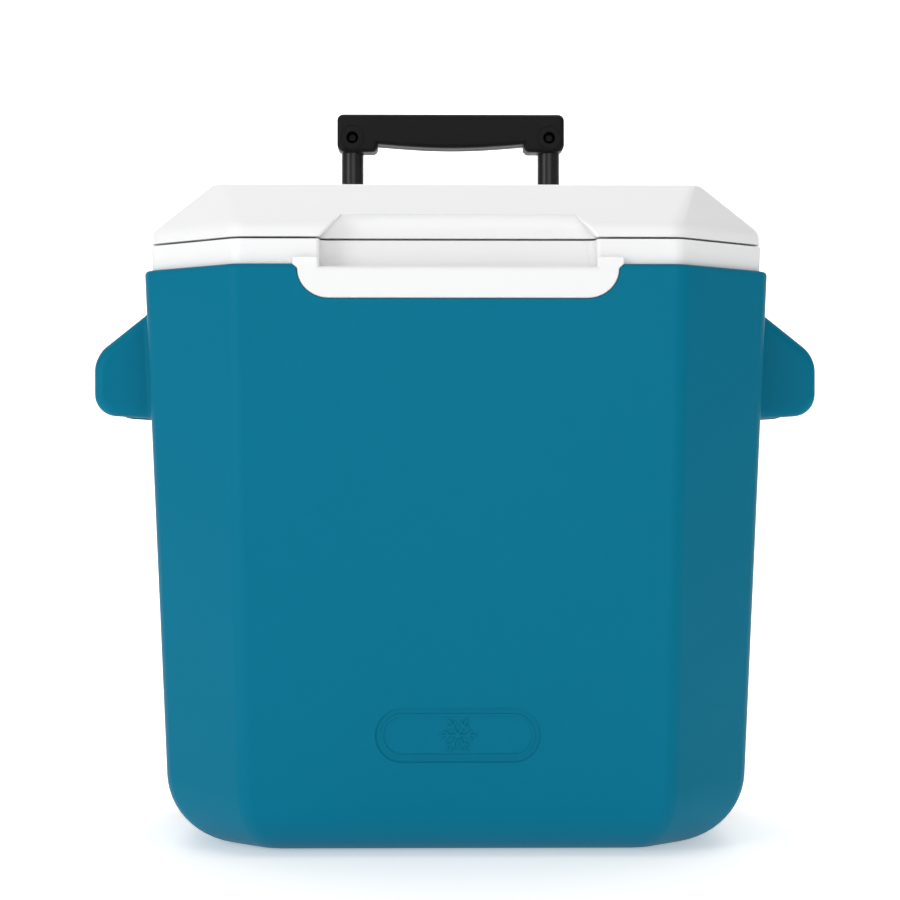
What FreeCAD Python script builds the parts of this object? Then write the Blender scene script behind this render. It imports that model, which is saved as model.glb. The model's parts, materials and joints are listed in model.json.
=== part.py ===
import FreeCAD, Part
import os
import re
from FreeCAD import Placement, Rotation, Vector
import Sketcher

# A hard cooler on two wheels: insulated tub, hinged lid, side hand holds and a
# two-stage pull handle.  Millimetres, +Z up, front towards -Y.  The origin is on
# the floor under the centre of the tub.

doc = FreeCAD.newDocument("wheeled_cooler")
sheet = doc.addObject("Spreadsheet::Sheet", "dims")

SIZES = (
    # tub
    ("shell_width", 389.2, "across the sides at the shell's top edge"),
    ("shell_depth", 290.0, "front to back at the shell's top edge"),
    ("shell_height", 359.5, "floor to the shell's top edge"),
    ("corner_cut", 58.6, "each corner is cut off this far along both sides"),
    ("side_slope", 0.0423, "how far the walls lean in for each millimetre down"),
    ("shell_wall", 3.0, "moulded wall of the shell"),
    ("shell_lip", 8.0, "width of the lip that turns in at the shell's top"),
    ("shoulder_radius", 2.6, "outer edge of that lip"),
    ("base_radius", 46.0, "rounding round the bottom"),
    ("crease_radius", 14.0, "rounding of the upright corners"),
    # liner
    ("wall_thickness", 27.0, "shell's outer face to liner's inner face"),
    ("floor_thickness", 33.0, "floor to the liner's inner face"),
    ("liner_wall", 3.0, "moulded wall of the liner"),
    ("liner_radius", 16.0, "inside rounding of the liner's floor"),
    ("rim_inset", 4.6, "rim's outer face behind the shell's outer face"),
    ("rim_height", 15.3, "rim above the shell's top edge"),
    ("seat_gap", 0.3, "free space between moulded pieces that meet"),
    ("tongue_width", 194.0, "white tongue on the front"),
    ("tongue_drop", 20.6, "tongue below the shell's top edge"),
    ("tongue_radius", 19.0, "lower corners of the tongue"),
    ("pocket_width", 167.0, "finger pocket in the rim and the lid"),
    ("pocket_depth", 14.0, "finger pocket behind the rim's face"),
    ("pocket_drop", 1.5, "pocket floor below the shell's top edge"),
    # lid
    ("seam_gap", 1.4, "open line between the lid and the rim"),
    ("lid_height", 35.8, "lid's lower edge to its top"),
    ("lid_edge", 8.0, "upright edge of the lid"),
    ("lid_slope_run", 39.0, "front and side slopes, measured level"),
    ("lid_back_run", 8.0, "back slope, measured level"),
    ("lid_top_cut", 5.0, "corner cut of the lid's top face"),
    ("lid_wall", 3.0, "moulded wall of the lid"),
    ("lid_top_radius", 4.0, "edge of the lid's top face"),
    ("lid_edge_radius", 7.0, "where the slopes meet the upright edge"),
    ("plug_depth", 8.8, "lid's inner panel inside the tub"),
    ("plug_gap", 2.5, "inner panel to the liner all round"),
    ("recess_rise", 14.3, "finger recess above the lid's lower edge"),
    ("recess_top_width", 140.0, "finger recess at its top"),
    ("recess_radius", 9.0, "cove at the top of the finger recess"),
    # hinges
    ("hinge_setback", 11.0, "hinge centre inside the end of the flat back"),
    ("hinge_width", 36.0, "one hinge over its knuckles"),
    ("hinge_inset", 8.0, "hinge axis in front of the shell's back face"),
    ("hinge_rise", 18.7, "hinge axis above the rim"),
    ("knuckle_radius", 5.5, "outside of a knuckle"),
    ("pin_radius", 2.4, "hinge pin"),
    ("hinge_notch_gap", 3.0, "lid round a hinge, each side"),
    ("hinge_plate", 5.0, "plate of a hinge base"),
    ("hinge_drop", 25.5, "hinge base below the shell's top edge"),
    ("hinge_leaf", 2.5, "plate of a hinge leaf"),
    ("hinge_side_gap", 0.3, "between knuckles"),
    ("hinge_screws", 20.0, "across a hinge's screws"),
    # hand holds
    ("ear_stand", 35.4, "hand hold beyond the shell's top edge, to the side"),
    ("ear_fall", 22.5, "top of a hand hold below the shell's top edge"),
    ("ear_drop", 70.0, "its height on the side"),
    ("ear_length", 115.0, "its length front to back"),
    ("ear_shift", 2.5, "its centre behind the middle"),
    ("ear_wall", 7.5, "outer lip of a hand hold"),
    ("ear_radius", 9.0, "rounding of its ends"),
    ("ear_root", 12.0, "how far it is sunk into the shell's wall"),
    ("ear_chin", 13.0, "its slanting lower front, measured level"),
    ("ear_chin_foot", 4.0, "where that slant starts above its foot"),
    ("ear_chin_top", 17.0, "where that slant ends above its foot"),
    ("ear_lip_top", 33.0, "top of its upright lip above its foot"),
    ("ear_brow", 5.0, "lip to the start of its long top slope, measured level"),
    ("ear_brow_fall", 25.0, "start of the long slope below its top"),
    ("finger_room", 34.0, "height of the space for the fingers"),
    ("finger_cove", 9.0, "height of the slanting corner of that space"),
    ("finger_slant", 5.0, "that corner measured level, and the rounding of its ends"),
    # emblem
    ("emblem_width", 100.0, "plain sunk panel low on the front"),
    ("emblem_height", 33.0, "its height"),
    ("emblem_centre", 75.0, "its centre above the floor"),
    ("emblem_sink", 0.8, "how deep it is sunk"),
    # wheels
    ("wheel_radius", 55.0, "tyre's running surface"),
    ("wheel_lift", 0.6, "wheels clear the floor while the tub stands"),
    ("tyre_depth", 8.0, "tyre's thickness on the hub"),
    ("tyre_width", 28.0, "tyre side to side"),
    ("wheel_inset", 14.1, "tyre's outer side inside the shell's top edge"),
    ("axle_inset", 53.0, "axle in front of the shell's back face"),
    ("axle_radius", 5.0, "axle rod"),
    ("sleeve_wall", 2.0, "tube that carries the axle through the foam"),
    ("running_gap", 0.05, "shaft in its hole, on the radius"),
    ("bush_wall", 3.0, "bush in the hub"),
    ("well_gap", 8.0, "wheel to its wheel arch"),
    ("well_room", 6.0, "tyre's inner side to the inner face of its arch"),
    ("well_margin", 10.0, "foam between an arch and the liner"),
    ("hub_barrel", 14.0, "hub round the bush"),
    ("hub_web", 6.0, "web of the hub"),
    ("hub_rim", 5.0, "rim under the tyre"),
    ("hub_stand", 3.0, "barrel beyond the tyre's sides"),
    ("hub_hole", 8.5, "six round holes in the web"),
    ("tyre_radius", 3.0, "edges of the running surface"),
    ("washer_thick", 2.4, "washer at the arch"),
    ("nut_length", 5.0, "nut on the end of the axle"),
    ("nut_radius", 8.0, "its outside"),
    ("cap_wall", 2.5, "cap over the hub"),
    # pull handle
    ("tube_spacing", 143.0, "between the two tubes"),
    ("tube_back", 38.0, "tubes behind the shell's back face"),
    ("guide_radius", 12.0, "fixed guide tube"),
    ("middle_radius", 10.0, "middle tube"),
    ("inner_radius", 8.0, "inner tube"),
    ("tube_wall", 1.5, "wall of all the tubes"),
    ("guide_foot", 100.0, "lower end of the guide tubes"),
    ("guide_rise", 30.5, "guide tubes above the shell's top edge"),
    ("middle_foot", 127.0, "lower end of the middle tubes, pushed in"),
    ("middle_rise", 34.0, "middle tubes above the guide tubes, pushed in"),
    ("inner_foot", 152.0, "lower end of the inner tubes, pushed in"),
    ("inner_rise", 62.0, "inner tubes above the middle tubes, pushed in"),
    ("slide_gap", 0.08, "bush to the tube it slides in, on the radius"),
    ("slider_length", 15.0, "bush under the foot of a sliding tube"),
    ("spigot_length", 8.0, "its spigot inside the tube"),
    ("collar_wall", 2.0, "collar round a guide tube"),
    ("collar_length", 10.0, "how far the collar reaches down the tube"),
    ("collar_cap", 4.0, "collar above the guide tube"),
    ("bridge_reach", 22.0, "bridge down the middle tubes"),
    ("bridge_cap", 6.0, "bridge above the middle tubes"),
    ("bracket_height", 36.0, "moulded brackets that hold the guide tubes"),
    ("bracket_fall", 43.5, "underside of the upper bracket below the shell's top edge"),
    ("bracket_low", 108.0, "underside of the lower bracket"),
    ("bracket_wall", 4.0, "bracket round a tube"),
    ("bracket_plate", 6.0, "bracket's plate on the tub's back"),
    ("bracket_screws", 23.5, "a bracket's screws inside the tubes"),
    ("bracket_pitch", 18.0, "up a bracket's screws"),
    ("grip_overhang", 11.0, "grip beyond the middle of each tube"),
    ("grip_reach", 20.0, "inner tubes inside the grip"),
    ("grip_height", 27.5, "grip's height at its ends"),
    ("grip_lift", 3.5, "underside of the middle above the ends"),
    ("grip_depth", 26.0, "grip front to back"),
    ("grip_end", 29.0, "length of each thick end"),
    ("grip_radius", 8.0, "rounding of the grip"),
    ("grip_wall", 3.5, "wall of the grip's two halves"),
    ("grip_screw_rise", 10.4, "grip's screws above its underside"),
    ("grip_screw_sink", 5.0, "how deep their heads are sunk"),
    # fasteners
    ("screw_radius", 2.0, "screw shanks"),
    ("screw_head", 4.0, "screw heads"),
    ("head_height", 2.4, "height of a screw head"),
    ("screw_gap", 0.2, "hole round a screw"),
    ("screw_length", 18.0, "shank of a screw in the tub"),
    ("leaf_screw_length", 12.0, "shank of a screw in the lid"),
    ("leaf_head_height", 1.2, "height of its flat head"),
    ("leaf_head_step", 0.8, "its head beyond its shank, on the radius"),
)

# Places and sizes that follow from the ones above.
PLACES = {
    "rim_top": "shell_height + rim_height",
    "lid_foot": "rim_top + seam_gap",
    "lid_top": "lid_foot + lid_height",
    "back_face": "shell_depth / 2",
    "corner_share": "2 - sqrt(2)",
    "ear_top": "shell_height - ear_fall",
    "ear_foot": "ear_top - ear_drop",
    "ear_reach": "shell_width / 2 + ear_stand",
    "wheel_inner": "shell_width / 2 - wheel_inset - tyre_width",
    "wheel_outer": "wheel_inner + tyre_width",
    "well_inner": "wheel_inner - well_room",
    "axle_y": "shell_depth / 2 - axle_inset",
    "axle_z": "wheel_radius + wheel_lift",
    "axle_bore": "axle_radius + running_gap",
    "sleeve_radius": "axle_bore + sleeve_wall",
    "hinge_x": "shell_width / 2 - corner_cut - hinge_setback",
    "hinge_y": "shell_depth / 2 - hinge_inset",
    "hinge_z": "rim_top + hinge_rise",
    "hinge_face": "shell_depth / 2 + hinge_plate",
    "hinge_ring": "hinge_width / 4",
    "leaf_front": "hinge_y - knuckle_radius - hinge_notch_gap",
    "tube_x": "tube_spacing / 2",
    "tube_y": "shell_depth / 2 + tube_back",
    "guide_top": "shell_height + guide_rise",
    "middle_top": "guide_top + middle_rise",
    "inner_top": "middle_top + inner_rise",
    "bridge_foot": "middle_top - bridge_reach",
    "bracket_high": "shell_height - bracket_fall",
    "grip_bottom": "inner_top - grip_reach",
    "grip_half": "tube_x + grip_overhang",
    "far": "2 * shell_width",
}

NAMES = re.compile(r"\b(" + "|".join(name for name, value, note in SIZES) + r")\b")
PLACE_NAMES = re.compile(r"\b(" + "|".join(PLACES) + r")\b")
for row, (name, value, note) in enumerate(SIZES, start=1):
    sheet.set("A" + str(row), note)
    sheet.set("B" + str(row), str(value))
    sheet.setAlias("B" + str(row), name)
doc.recompute()

SIDES = (("left", "-1"), ("right", "1"))
NODES = []


# ---------------------------------------------------------------- small tools
def formula(text):
    """Write out the places named in a formula, then point each size at its cell."""
    while PLACE_NAMES.search(text):
        text = PLACE_NAMES.sub(lambda found: f"({PLACES[found.group()]})", text)
    return NAMES.sub(r"dims.\g<0>", text)


def bind(obj, **values):
    """Tie properties to formulas; base_x, base_y, base_z place the object."""
    for key, text in values.items():
        path = key.replace("base_", "Placement.Base.")
        obj.setExpression(path, formula(text))
    return obj


def node(obj, label):
    """This object is a piece of the cooler, written to a file of that name."""
    obj.Label = label
    NODES.append(obj)
    return obj


def box(name, x, y, z):
    """A block between two formulas on each axis."""
    obj = doc.addObject("Part::Box", name)
    bind(obj, Length=f"({x[1]}) - ({x[0]})", Width=f"({y[1]}) - ({y[0]})")
    bind(obj, Height=f"({z[1]}) - ({z[0]})", base_x=x[0], base_y=y[0], base_z=z[0])
    return obj


def rod(name, radius, length, x, y, z, axis="Z"):
    """A cylinder that runs from a point along an axis."""
    turns = {"X": Rotation(Vector(0, 1, 0), 90), "Y": Rotation(Vector(1, 0, 0), -90), "Z": Rotation()}
    obj = doc.addObject("Part::Cylinder", name)
    obj.Placement = Placement(Vector(), turns[axis])
    return bind(obj, Radius=radius, Height=length, base_x=x, base_y=y, base_z=z)


def cut(name, base, *tools):
    """The base with every tool taken out of it."""
    for number, tool in enumerate(tools):
        obj = doc.addObject("Part::Cut", f"{name}_cut{number}")
        obj.Base = base
        obj.Tool = tool
        base = obj
    return base


def fuse(name, *shapes):
    obj = doc.addObject("Part::MultiFuse", name)
    obj.Shapes = list(shapes)
    return obj


def common(name, *shapes):
    obj = doc.addObject("Part::MultiCommon", name)
    obj.Shapes = list(shapes)
    return obj


def group(name, shapes):
    """Like pieces that share one file, each a solid of its own."""
    obj = doc.addObject("Part::Compound", name)
    obj.Links = list(shapes)
    return obj


def new_body(name):
    return doc.addObject("PartDesign::Body", name)


def outline(body, name, role, points, height="0"):
    """A closed outline on one of the body's planes, each corner set by two formulas."""
    plane = [item for item in body.Origin.OriginFeatures if item.Role == role][0]
    sketch = body.newObject("Sketcher::SketchObject", name)
    sketch.AttachmentSupport = [(plane, "")]
    sketch.MapMode = "FlatFace"
    sketch.setExpression("AttachmentOffset.Base.z", formula(height))
    count = len(points)
    corners = [Rotation(Vector(0, 0, 1), 360.0 * i / count).multVec(Vector(100, 40, 0))
               for i in range(count)]
    for i in range(count):
        sketch.addGeometry(Part.LineSegment(corners[i], corners[(i + 1) % count]))
    for i in range(count):
        sketch.addConstraint(Sketcher.Constraint("Coincident", i, 2, (i + 1) % count, 1))
    for i, (across, up) in enumerate(points):
        for kind, value, text in (("DistanceX", corners[i].x, across), ("DistanceY", corners[i].y, up)):
            index = sketch.addConstraint(Sketcher.Constraint(kind, -1, 1, i, 1, value))
            sketch.setExpression(f"Constraints[{index}]", formula(text))
    return sketch


def pad(body, name, sketch, **values):
    feature = body.newObject("PartDesign::Pad", name)
    feature.Profile = sketch
    bind(feature, **values)
    body.Tip = feature
    return feature


def round_edges(body, name, radius, pick):
    """Round the edges of the body that the pick function accepts."""
    doc.recompute()
    base = body.Tip
    names = [f"Edge{i + 1}" for i, edge in enumerate(base.Shape.Edges) if pick(edge)]
    feature = body.newObject("PartDesign::Fillet", name)
    feature.Base = (base, names)
    bind(feature, Radius=radius)
    body.Tip = feature
    return feature


def spin(name, points, y="0", z="0"):
    """A turned piece: its outline of (along X, radius) corners spun about X."""
    body = new_body(name)
    sketch = outline(body, name + "_profile", "XY_Plane", points)
    feature = body.newObject("PartDesign::Revolution", name + "_turned")
    feature.Profile = sketch
    feature.ReferenceAxis = (sketch, ["H_Axis"])
    feature.Angle = 360
    body.Tip = feature
    return bind(body, base_y=y, base_z=z)


def octagon(half_width, front, back, front_cut, back_cut):
    """Corners of a rectangle with its corners cut off, mirrored about the middle."""
    right = (
        (f"{half_width} - ({front_cut})", f"-({front})"),
        (half_width, f"({front_cut}) - ({front})"),
        (half_width, f"({back}) - ({back_cut})"),
        (f"{half_width} - ({back_cut})", back),
    )
    return list(right) + [(f"-({x})", y) for x, y in reversed(right)]


def lean(height):
    """How far the shell's face stands in at a height, beyond its top edge."""
    return f"(shell_height - ({height})) * side_slope"


def tub(name, inset, top, floor, floor_radius, upright_radius):
    """A solid that follows the tub's walls, a constant distance inside them."""
    lean_in = f"(({inset}) + {lean(top)})"
    half_width = f"(shell_width / 2 - {lean_in})"
    half_depth = f"(shell_depth / 2 - {lean_in})"
    corner = f"(corner_cut - corner_share * {lean_in})"
    body = new_body(name)
    plan = octagon(half_width, half_depth, half_depth, corner, corner)
    sketch = outline(body, name + "_plan", "XY_Plane", plan, top)
    block = pad(body, name + "_block", sketch, Length=f"({top}) - ({floor})")
    block.Reversed = True
    doc.recompute()
    low = block.Shape.BoundBox.ZMin
    high = block.Shape.BoundBox.ZMax
    faces = {f"Face{i + 1}": face.BoundBox for i, face in enumerate(block.Shape.Faces)}
    walls = [key for key, bounds in faces.items() if bounds.ZLength > 1]
    neutral = [key for key, bounds in faces.items() if bounds.ZMin > high - 0.01]
    draft = body.newObject("PartDesign::Draft", name + "_draft")
    draft.Base = (block, walls)
    draft.NeutralPlane = (block, neutral)
    draft.Reversed = True
    bind(draft, Angle="atan(side_slope)")
    body.Tip = draft
    if floor_radius:
        round_edges(body, name + "_base", floor_radius, lambda edge: edge.BoundBox.ZMax < low + 0.01)
    reach = (high - low) / 3
    round_edges(body, name + "_uprights", upright_radius, lambda edge: edge.BoundBox.ZLength > reach)
    return body


# ------------------------------------------------------------------------ tub
def wheel_arch(name, grow, inner):
    """Room for a wheel at each rear corner, open to the side, the back and the floor."""
    solids = []
    radius = f"(wheel_radius + well_gap + ({grow}))"
    for side, sign in SIDES:
        x = (inner, "far") if sign == "1" else ("-far", f"-({inner})")
        start = x[0]
        round_part = rod(f"{name}_round_{side}", radius, f"far - ({inner})", start, "axle_y", "axle_z", "X")
        solids.append(round_part)
        rear = (x, ("axle_y", "far"), ("-far", f"axle_z + {radius}"))
        solids.append(box(f"{name}_rear_{side}", *rear))
        under = (x, (f"axle_y - {radius}", "far"), ("-far", "axle_z"))
        solids.append(box(f"{name}_under_{side}", *under))
    return fuse(name, *solids)


def front_panel(name, half_width, low, high, radius, all_round=False):
    """A panel seen from the front, its lower or all its corners rounded, running far back."""
    body = new_body(name)
    points = (
        (f"-({half_width})", low),
        (half_width, low),
        (half_width, high),
        (f"-({half_width})", high),
    )
    feature = pad(body, name + "_pad", outline(body, name + "_plan", "XZ_Plane", points), Length="far")
    doc.recompute()
    floor = feature.Shape.BoundBox.ZMin
    if feature.Shape.BoundBox.YMin > -1:
        feature.Reversed = True
        doc.recompute()
    rounded = lambda edge: edge.BoundBox.YLength > 1 and (all_round or edge.BoundBox.ZMax < floor + 0.01)
    round_edges(body, name + "_corners", radius, rounded)
    return body


def hand_hold(name):
    """The right hand hold: a hollow wedge with a rounded lip, open underneath."""
    body = new_body(name)
    root = "shell_width / 2 - ear_root"
    points = (
        (root, "ear_foot"),
        ("ear_reach - ear_chin", "ear_foot + ear_chin_foot"),
        ("ear_reach", "ear_foot + ear_chin_top"),
        ("ear_reach", "ear_foot + ear_lip_top"),
        ("ear_reach - ear_brow", "ear_top - ear_brow_fall"),
        (f"shell_width / 2 - {lean('ear_top')}", "ear_top"),
        (root, "ear_top"),
    )
    feature = pad(body, name + "_pad", outline(body, name + "_plan", "XZ_Plane", points),
                  Length="ear_length")
    feature.Midplane = True
    doc.recompute()
    reach = feature.Shape.BoundBox.XMax
    ends = lambda edge: edge.BoundBox.YLength < 0.1 and edge.BoundBox.XMax > reach - 20
    lips = lambda edge: edge.BoundBox.YLength > 50 and edge.BoundBox.XMax > reach - 8
    round_edges(body, name + "_lip", "ear_radius - 3", lips)
    round_edges(body, name + "_ends", "ear_radius - 3", ends)
    return bind(body, base_y="ear_shift")


def finger_space(name):
    """The space that the fingers curl into, inside the right hand hold."""
    body = new_body(name)
    inner = f"shell_width / 2 - {lean('ear_foot')} + shell_wall"
    points = (
        (inner, "ear_foot - 20"),
        ("ear_reach - ear_wall", "ear_foot - 20"),
        ("ear_reach - ear_wall", "ear_foot + finger_room - finger_cove"),
        ("ear_reach - ear_wall - finger_slant", "ear_foot + finger_room"),
        (inner, "ear_foot + finger_room"),
    )
    feature = pad(body, name + "_pad", outline(body, name + "_plan", "XZ_Plane", points),
                  Length="ear_length - 2 * ear_wall - ear_radius")
    feature.Midplane = True
    doc.recompute()
    round_edges(body, name + "_corners", "finger_slant", lambda edge: edge.BoundBox.ZLength > 20)
    return bind(body, base_y="ear_shift")


def mirrored(name, source):
    obj = doc.addObject("Part::Mirroring", name)
    obj.Source = source
    obj.Normal = Vector(1, 0, 0)
    return obj


def make_shell():
    outside = tub("shell_outside", "0", "shell_height", "0", "base_radius", "crease_radius")
    round_edges(outside, "shell_shoulder", "shoulder_radius",
                lambda edge: edge.BoundBox.ZMin > sheet.get("shell_height") - 0.01)
    inside = tub("shell_inside", "shell_wall", "shell_height - shell_wall", "shell_wall",
                 "base_radius - shell_wall", "crease_radius - shell_wall")
    mouth = tub("shell_mouth", "shell_lip", "shell_height + 10", "shell_height - 10", "",
                "crease_radius - shell_lip")
    hold = hand_hold("hold_right")
    room = finger_space("finger_space_right")
    holds = (hold, mirrored("hold_left", hold))
    rooms = (room, mirrored("finger_space_left", room))
    solid = fuse("shell_with_holds", outside, *holds)
    arches = wheel_arch("arch", "0", "well_inner")
    lining = wheel_arch("arch_lining", "shell_wall", "well_inner - shell_wall")
    hollow = cut("shell_hollow", inside, lining)
    notch = front_panel("tongue_notch", "tongue_width / 2 + seat_gap",
                        "shell_height - tongue_drop - seat_gap", "shell_height + 20",
                        "tongue_radius + seat_gap")
    emblem = front_panel("emblem_outline", "emblem_width / 2", "emblem_centre - emblem_height / 2",
                         "emblem_centre + emblem_height / 2", "emblem_height / 2 - 0.5", True)
    sunk = tub("emblem_floor", "emblem_sink", "shell_height", "0", "base_radius",
               "crease_radius - emblem_sink")
    emblem_cut = cut("emblem_panel", emblem, sunk)
    sleeve = rod("sleeve_bore", "sleeve_radius + seat_gap / 3", "2 * far", "-far", "axle_y", "axle_z", "X")
    holes = shell_screw_holes("shell_hole")
    shell = cut("shell", solid, hollow, mouth, arches, notch, emblem_cut, sleeve, *rooms, *holes)
    node(shell, "outer_shell")


def corner_steps(name, grow):
    """Where the liner steps in over the two wheel arches and up over the axle."""
    edge = f"(well_margin + shell_wall + ({grow}))"
    top = f"axle_z + wheel_radius + well_gap + {edge}"
    front = f"axle_y - wheel_radius - well_gap - {edge}"
    solids = []
    for side, sign in SIDES:
        inner = f"(well_inner - {edge})"
        x = (inner, "far") if sign == "1" else ("-far", f"-{inner}")
        solids.append(box(f"{name}_{side}", x, (front, "far"), ("-far", top)))
    cover = f"(sleeve_radius + well_margin + ({grow}))"
    solids.append(box(f"{name}_axle", ("-far", "far"), (f"axle_y - {cover}", "far"),
                      ("-far", f"axle_z + {cover}")))
    return fuse(name, *solids)


def make_liner():
    """One white moulding: tub, rim with the finger pocket, and the tongue on the front."""
    outer_radius = "liner_radius + liner_wall"
    outside = cut("liner_outside", tub("liner_block", "wall_thickness - liner_wall", "rim_top",
                  "floor_thickness - liner_wall", outer_radius, outer_radius), corner_steps("step", "0"))
    inside = cut("liner_inside", tub("liner_room", "wall_thickness", "rim_top + 10", "floor_thickness",
                 "liner_radius", "liner_radius"), corner_steps("step_inner", "liner_wall"))
    rim_foot = "shell_height + seat_gap"
    rim = tub("rim", "rim_inset", "rim_top", rim_foot, "", "crease_radius - rim_inset")
    under = tub("rim_under", "rim_inset + liner_wall", "rim_top - liner_wall", rim_foot + " - 1", "",
                "crease_radius - rim_inset - liner_wall")
    core = tub("rim_core", "wall_thickness - liner_wall", "rim_top + 5", rim_foot + " - 5", "",
               outer_radius)
    pocket_back = "(rim_inset + pocket_depth - shell_depth / 2)"
    floor = "(shell_height - pocket_drop)"
    half = "(pocket_width / 2)"
    block = box("pocket_block", (f"-{half} - liner_wall", f"{half} + liner_wall"),
                ("-far", f"{pocket_back} + liner_wall"), (f"{floor} - liner_wall", "rim_top"))
    limits = (tub("pocket_limit_low", "seat_gap", "shell_height", "shell_height - 60", "", "crease_radius"),
              tub("pocket_limit_high", "rim_inset", "rim_top", "shell_height - 1", "",
                  "crease_radius - rim_inset"))
    trim = fuse("pocket_limit", *limits)
    pocket_walls = common("pocket_walls", block, trim)
    hollow = cut("rim_hollow", under, core, block)
    tongue_face = front_panel("tongue_outline", "tongue_width / 2", "shell_height - tongue_drop",
                              rim_foot + " + 1", "tongue_radius")
    face_outer = tub("tongue_outer", "seat_gap", "shell_height + 5", "shell_height - 60", "",
                     "crease_radius")
    face_inner = tub("tongue_inner", "seat_gap + liner_wall", "shell_height + 6", "shell_height - 61", "",
                     "crease_radius - liner_wall")
    tongue = cut("tongue", common("tongue_front", tongue_face, face_outer), face_inner)
    pocket = box("pocket", (f"-{half}", half), ("-far", pocket_back), (floor, "rim_top + 5"))
    solid = fuse("liner_solid", outside, cut("rim_shell", rim, hollow), pocket_walls, tongue)
    node(cut("liner", solid, inside, pocket), "inner_liner")


def make_foam():
    """Foam between shell and liner, with the axle's tube through it."""
    inset = "shell_wall + 2 * seat_gap"
    block = tub("foam_block", inset, "shell_height - tongue_drop - 4", inset,
                "base_radius - shell_wall - seat_gap", "crease_radius - shell_wall - seat_gap")
    room = cut("foam_room", tub("foam_room_block", "wall_thickness - liner_wall - seat_gap", "rim_top",
               "floor_thickness - liner_wall - seat_gap", "liner_radius + liner_wall + seat_gap",
               "liner_radius + liner_wall"), corner_steps("foam_step", "-seat_gap"))
    arches = wheel_arch("foam_arch", "shell_wall + seat_gap", "well_inner - shell_wall - seat_gap")
    bore = rod("foam_bore", "sleeve_radius + seat_gap", "2 * far", "-far", "axle_y", "axle_z", "X")
    node(cut("foam", block, room, arches, bore, *shell_screw_holes("foam_hole")), "body_foam")


# ------------------------------------------------------------------------ lid
def lid_solid(name, inset, foot, top):
    """The lid's outside, or a smaller copy inside it: upright edge, then slopes to the top."""
    lean_in = f"(rim_inset + ({inset}))"
    half_width = f"(shell_width / 2 - {lean_in})"
    half_depth = f"(shell_depth / 2 - {lean_in})"
    corner = f"(corner_cut - corner_share * {lean_in})"
    body = new_body(name)
    low = outline(body, name + "_low", "XY_Plane",
                  octagon(half_width, half_depth, half_depth, corner, corner), foot)
    brow = "lid_foot + lid_edge"
    pad(body, name + "_edge", low, Length=f"{brow} - ({foot})")
    brow_plan = outline(body, name + "_brow", "XY_Plane",
                        octagon(half_width, half_depth, half_depth, corner, corner), brow)
    share = f"((({top}) - ({brow})) / (lid_height - lid_edge))"
    top_half = f"({half_width} - lid_slope_run * {share})"
    top_front = f"({half_depth} - lid_slope_run * {share})"
    top_back = f"({half_depth} - lid_back_run * {share})"
    top_cut = f"({corner} + (lid_top_cut - {corner}) * {share})"
    top_plan = outline(body, name + "_high", "XY_Plane",
                       octagon(top_half, top_front, top_back, top_cut, top_cut), top)
    loft = body.newObject("PartDesign::AdditiveLoft", name + "_slopes")
    loft.Profile = brow_plan
    loft.Sections = [top_plan]
    loft.Ruled = True
    body.Tip = loft
    return body


def lid_recess(name, grow):
    """The finger recess in the lid's front, under a coved top."""
    body = new_body(name)
    half = f"(pocket_width / 2 + ({grow}))"
    high_half = f"(recess_top_width / 2 + ({grow}))"
    high = f"lid_foot + recess_rise + ({grow})"
    points = (
        (f"-{half}", "lid_foot - 20"),
        (half, "lid_foot - 20"),
        (half, "lid_foot"),
        (high_half, high),
        (f"-{high_half}", high),
        (f"-{half}", "lid_foot"),
    )
    back = f"(shell_depth / 2 - rim_inset - pocket_depth - ({grow}))"
    sketch = outline(body, name + "_plan", "XZ_Plane", points)
    feature = pad(body, name + "_pad", sketch, Length="far")
    doc.recompute()
    if feature.Shape.BoundBox.YMin > -1:
        feature.Reversed = True
    keep = box(name + "_keep", ("-far", "far"), ("-far", f"-{back}"), ("lid_foot - 30", "lid_foot + 60"))
    trimmed = common(name + "_trimmed", body, keep)
    doc.recompute()
    ceiling = trimmed.Shape.BoundBox.ZMax
    rear = trimmed.Shape.BoundBox.YMax
    edges = []
    for index, edge in enumerate(trimmed.Shape.Edges, start=1):
        bounds = edge.BoundBox
        if bounds.ZMin > ceiling - 0.01 and bounds.YMin > rear - 0.01:
            edges.append((index, sheet.get("recess_radius"), sheet.get("recess_radius")))
    cove = doc.addObject("Part::Fillet", name)
    cove.Base = trimmed
    cove.Edges = edges
    return cove


def hinge_notch(name, grow):
    """Gaps in the lid's back edge that leave the hinges free."""
    solids = []
    for side, sign in SIDES:
        middle = f"{sign} * hinge_x"
        half = f"(hinge_width / 2 + hinge_notch_gap + ({grow}))"
        x = (f"{middle} - {half}", f"{middle} + {half}")
        y = (f"hinge_y - knuckle_radius - hinge_notch_gap - ({grow})", "far")
        solids.append(box(f"{name}_{side}", x, y, ("lid_foot - 30", "lid_top + 30")))
    return fuse(name, *solids)


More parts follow.
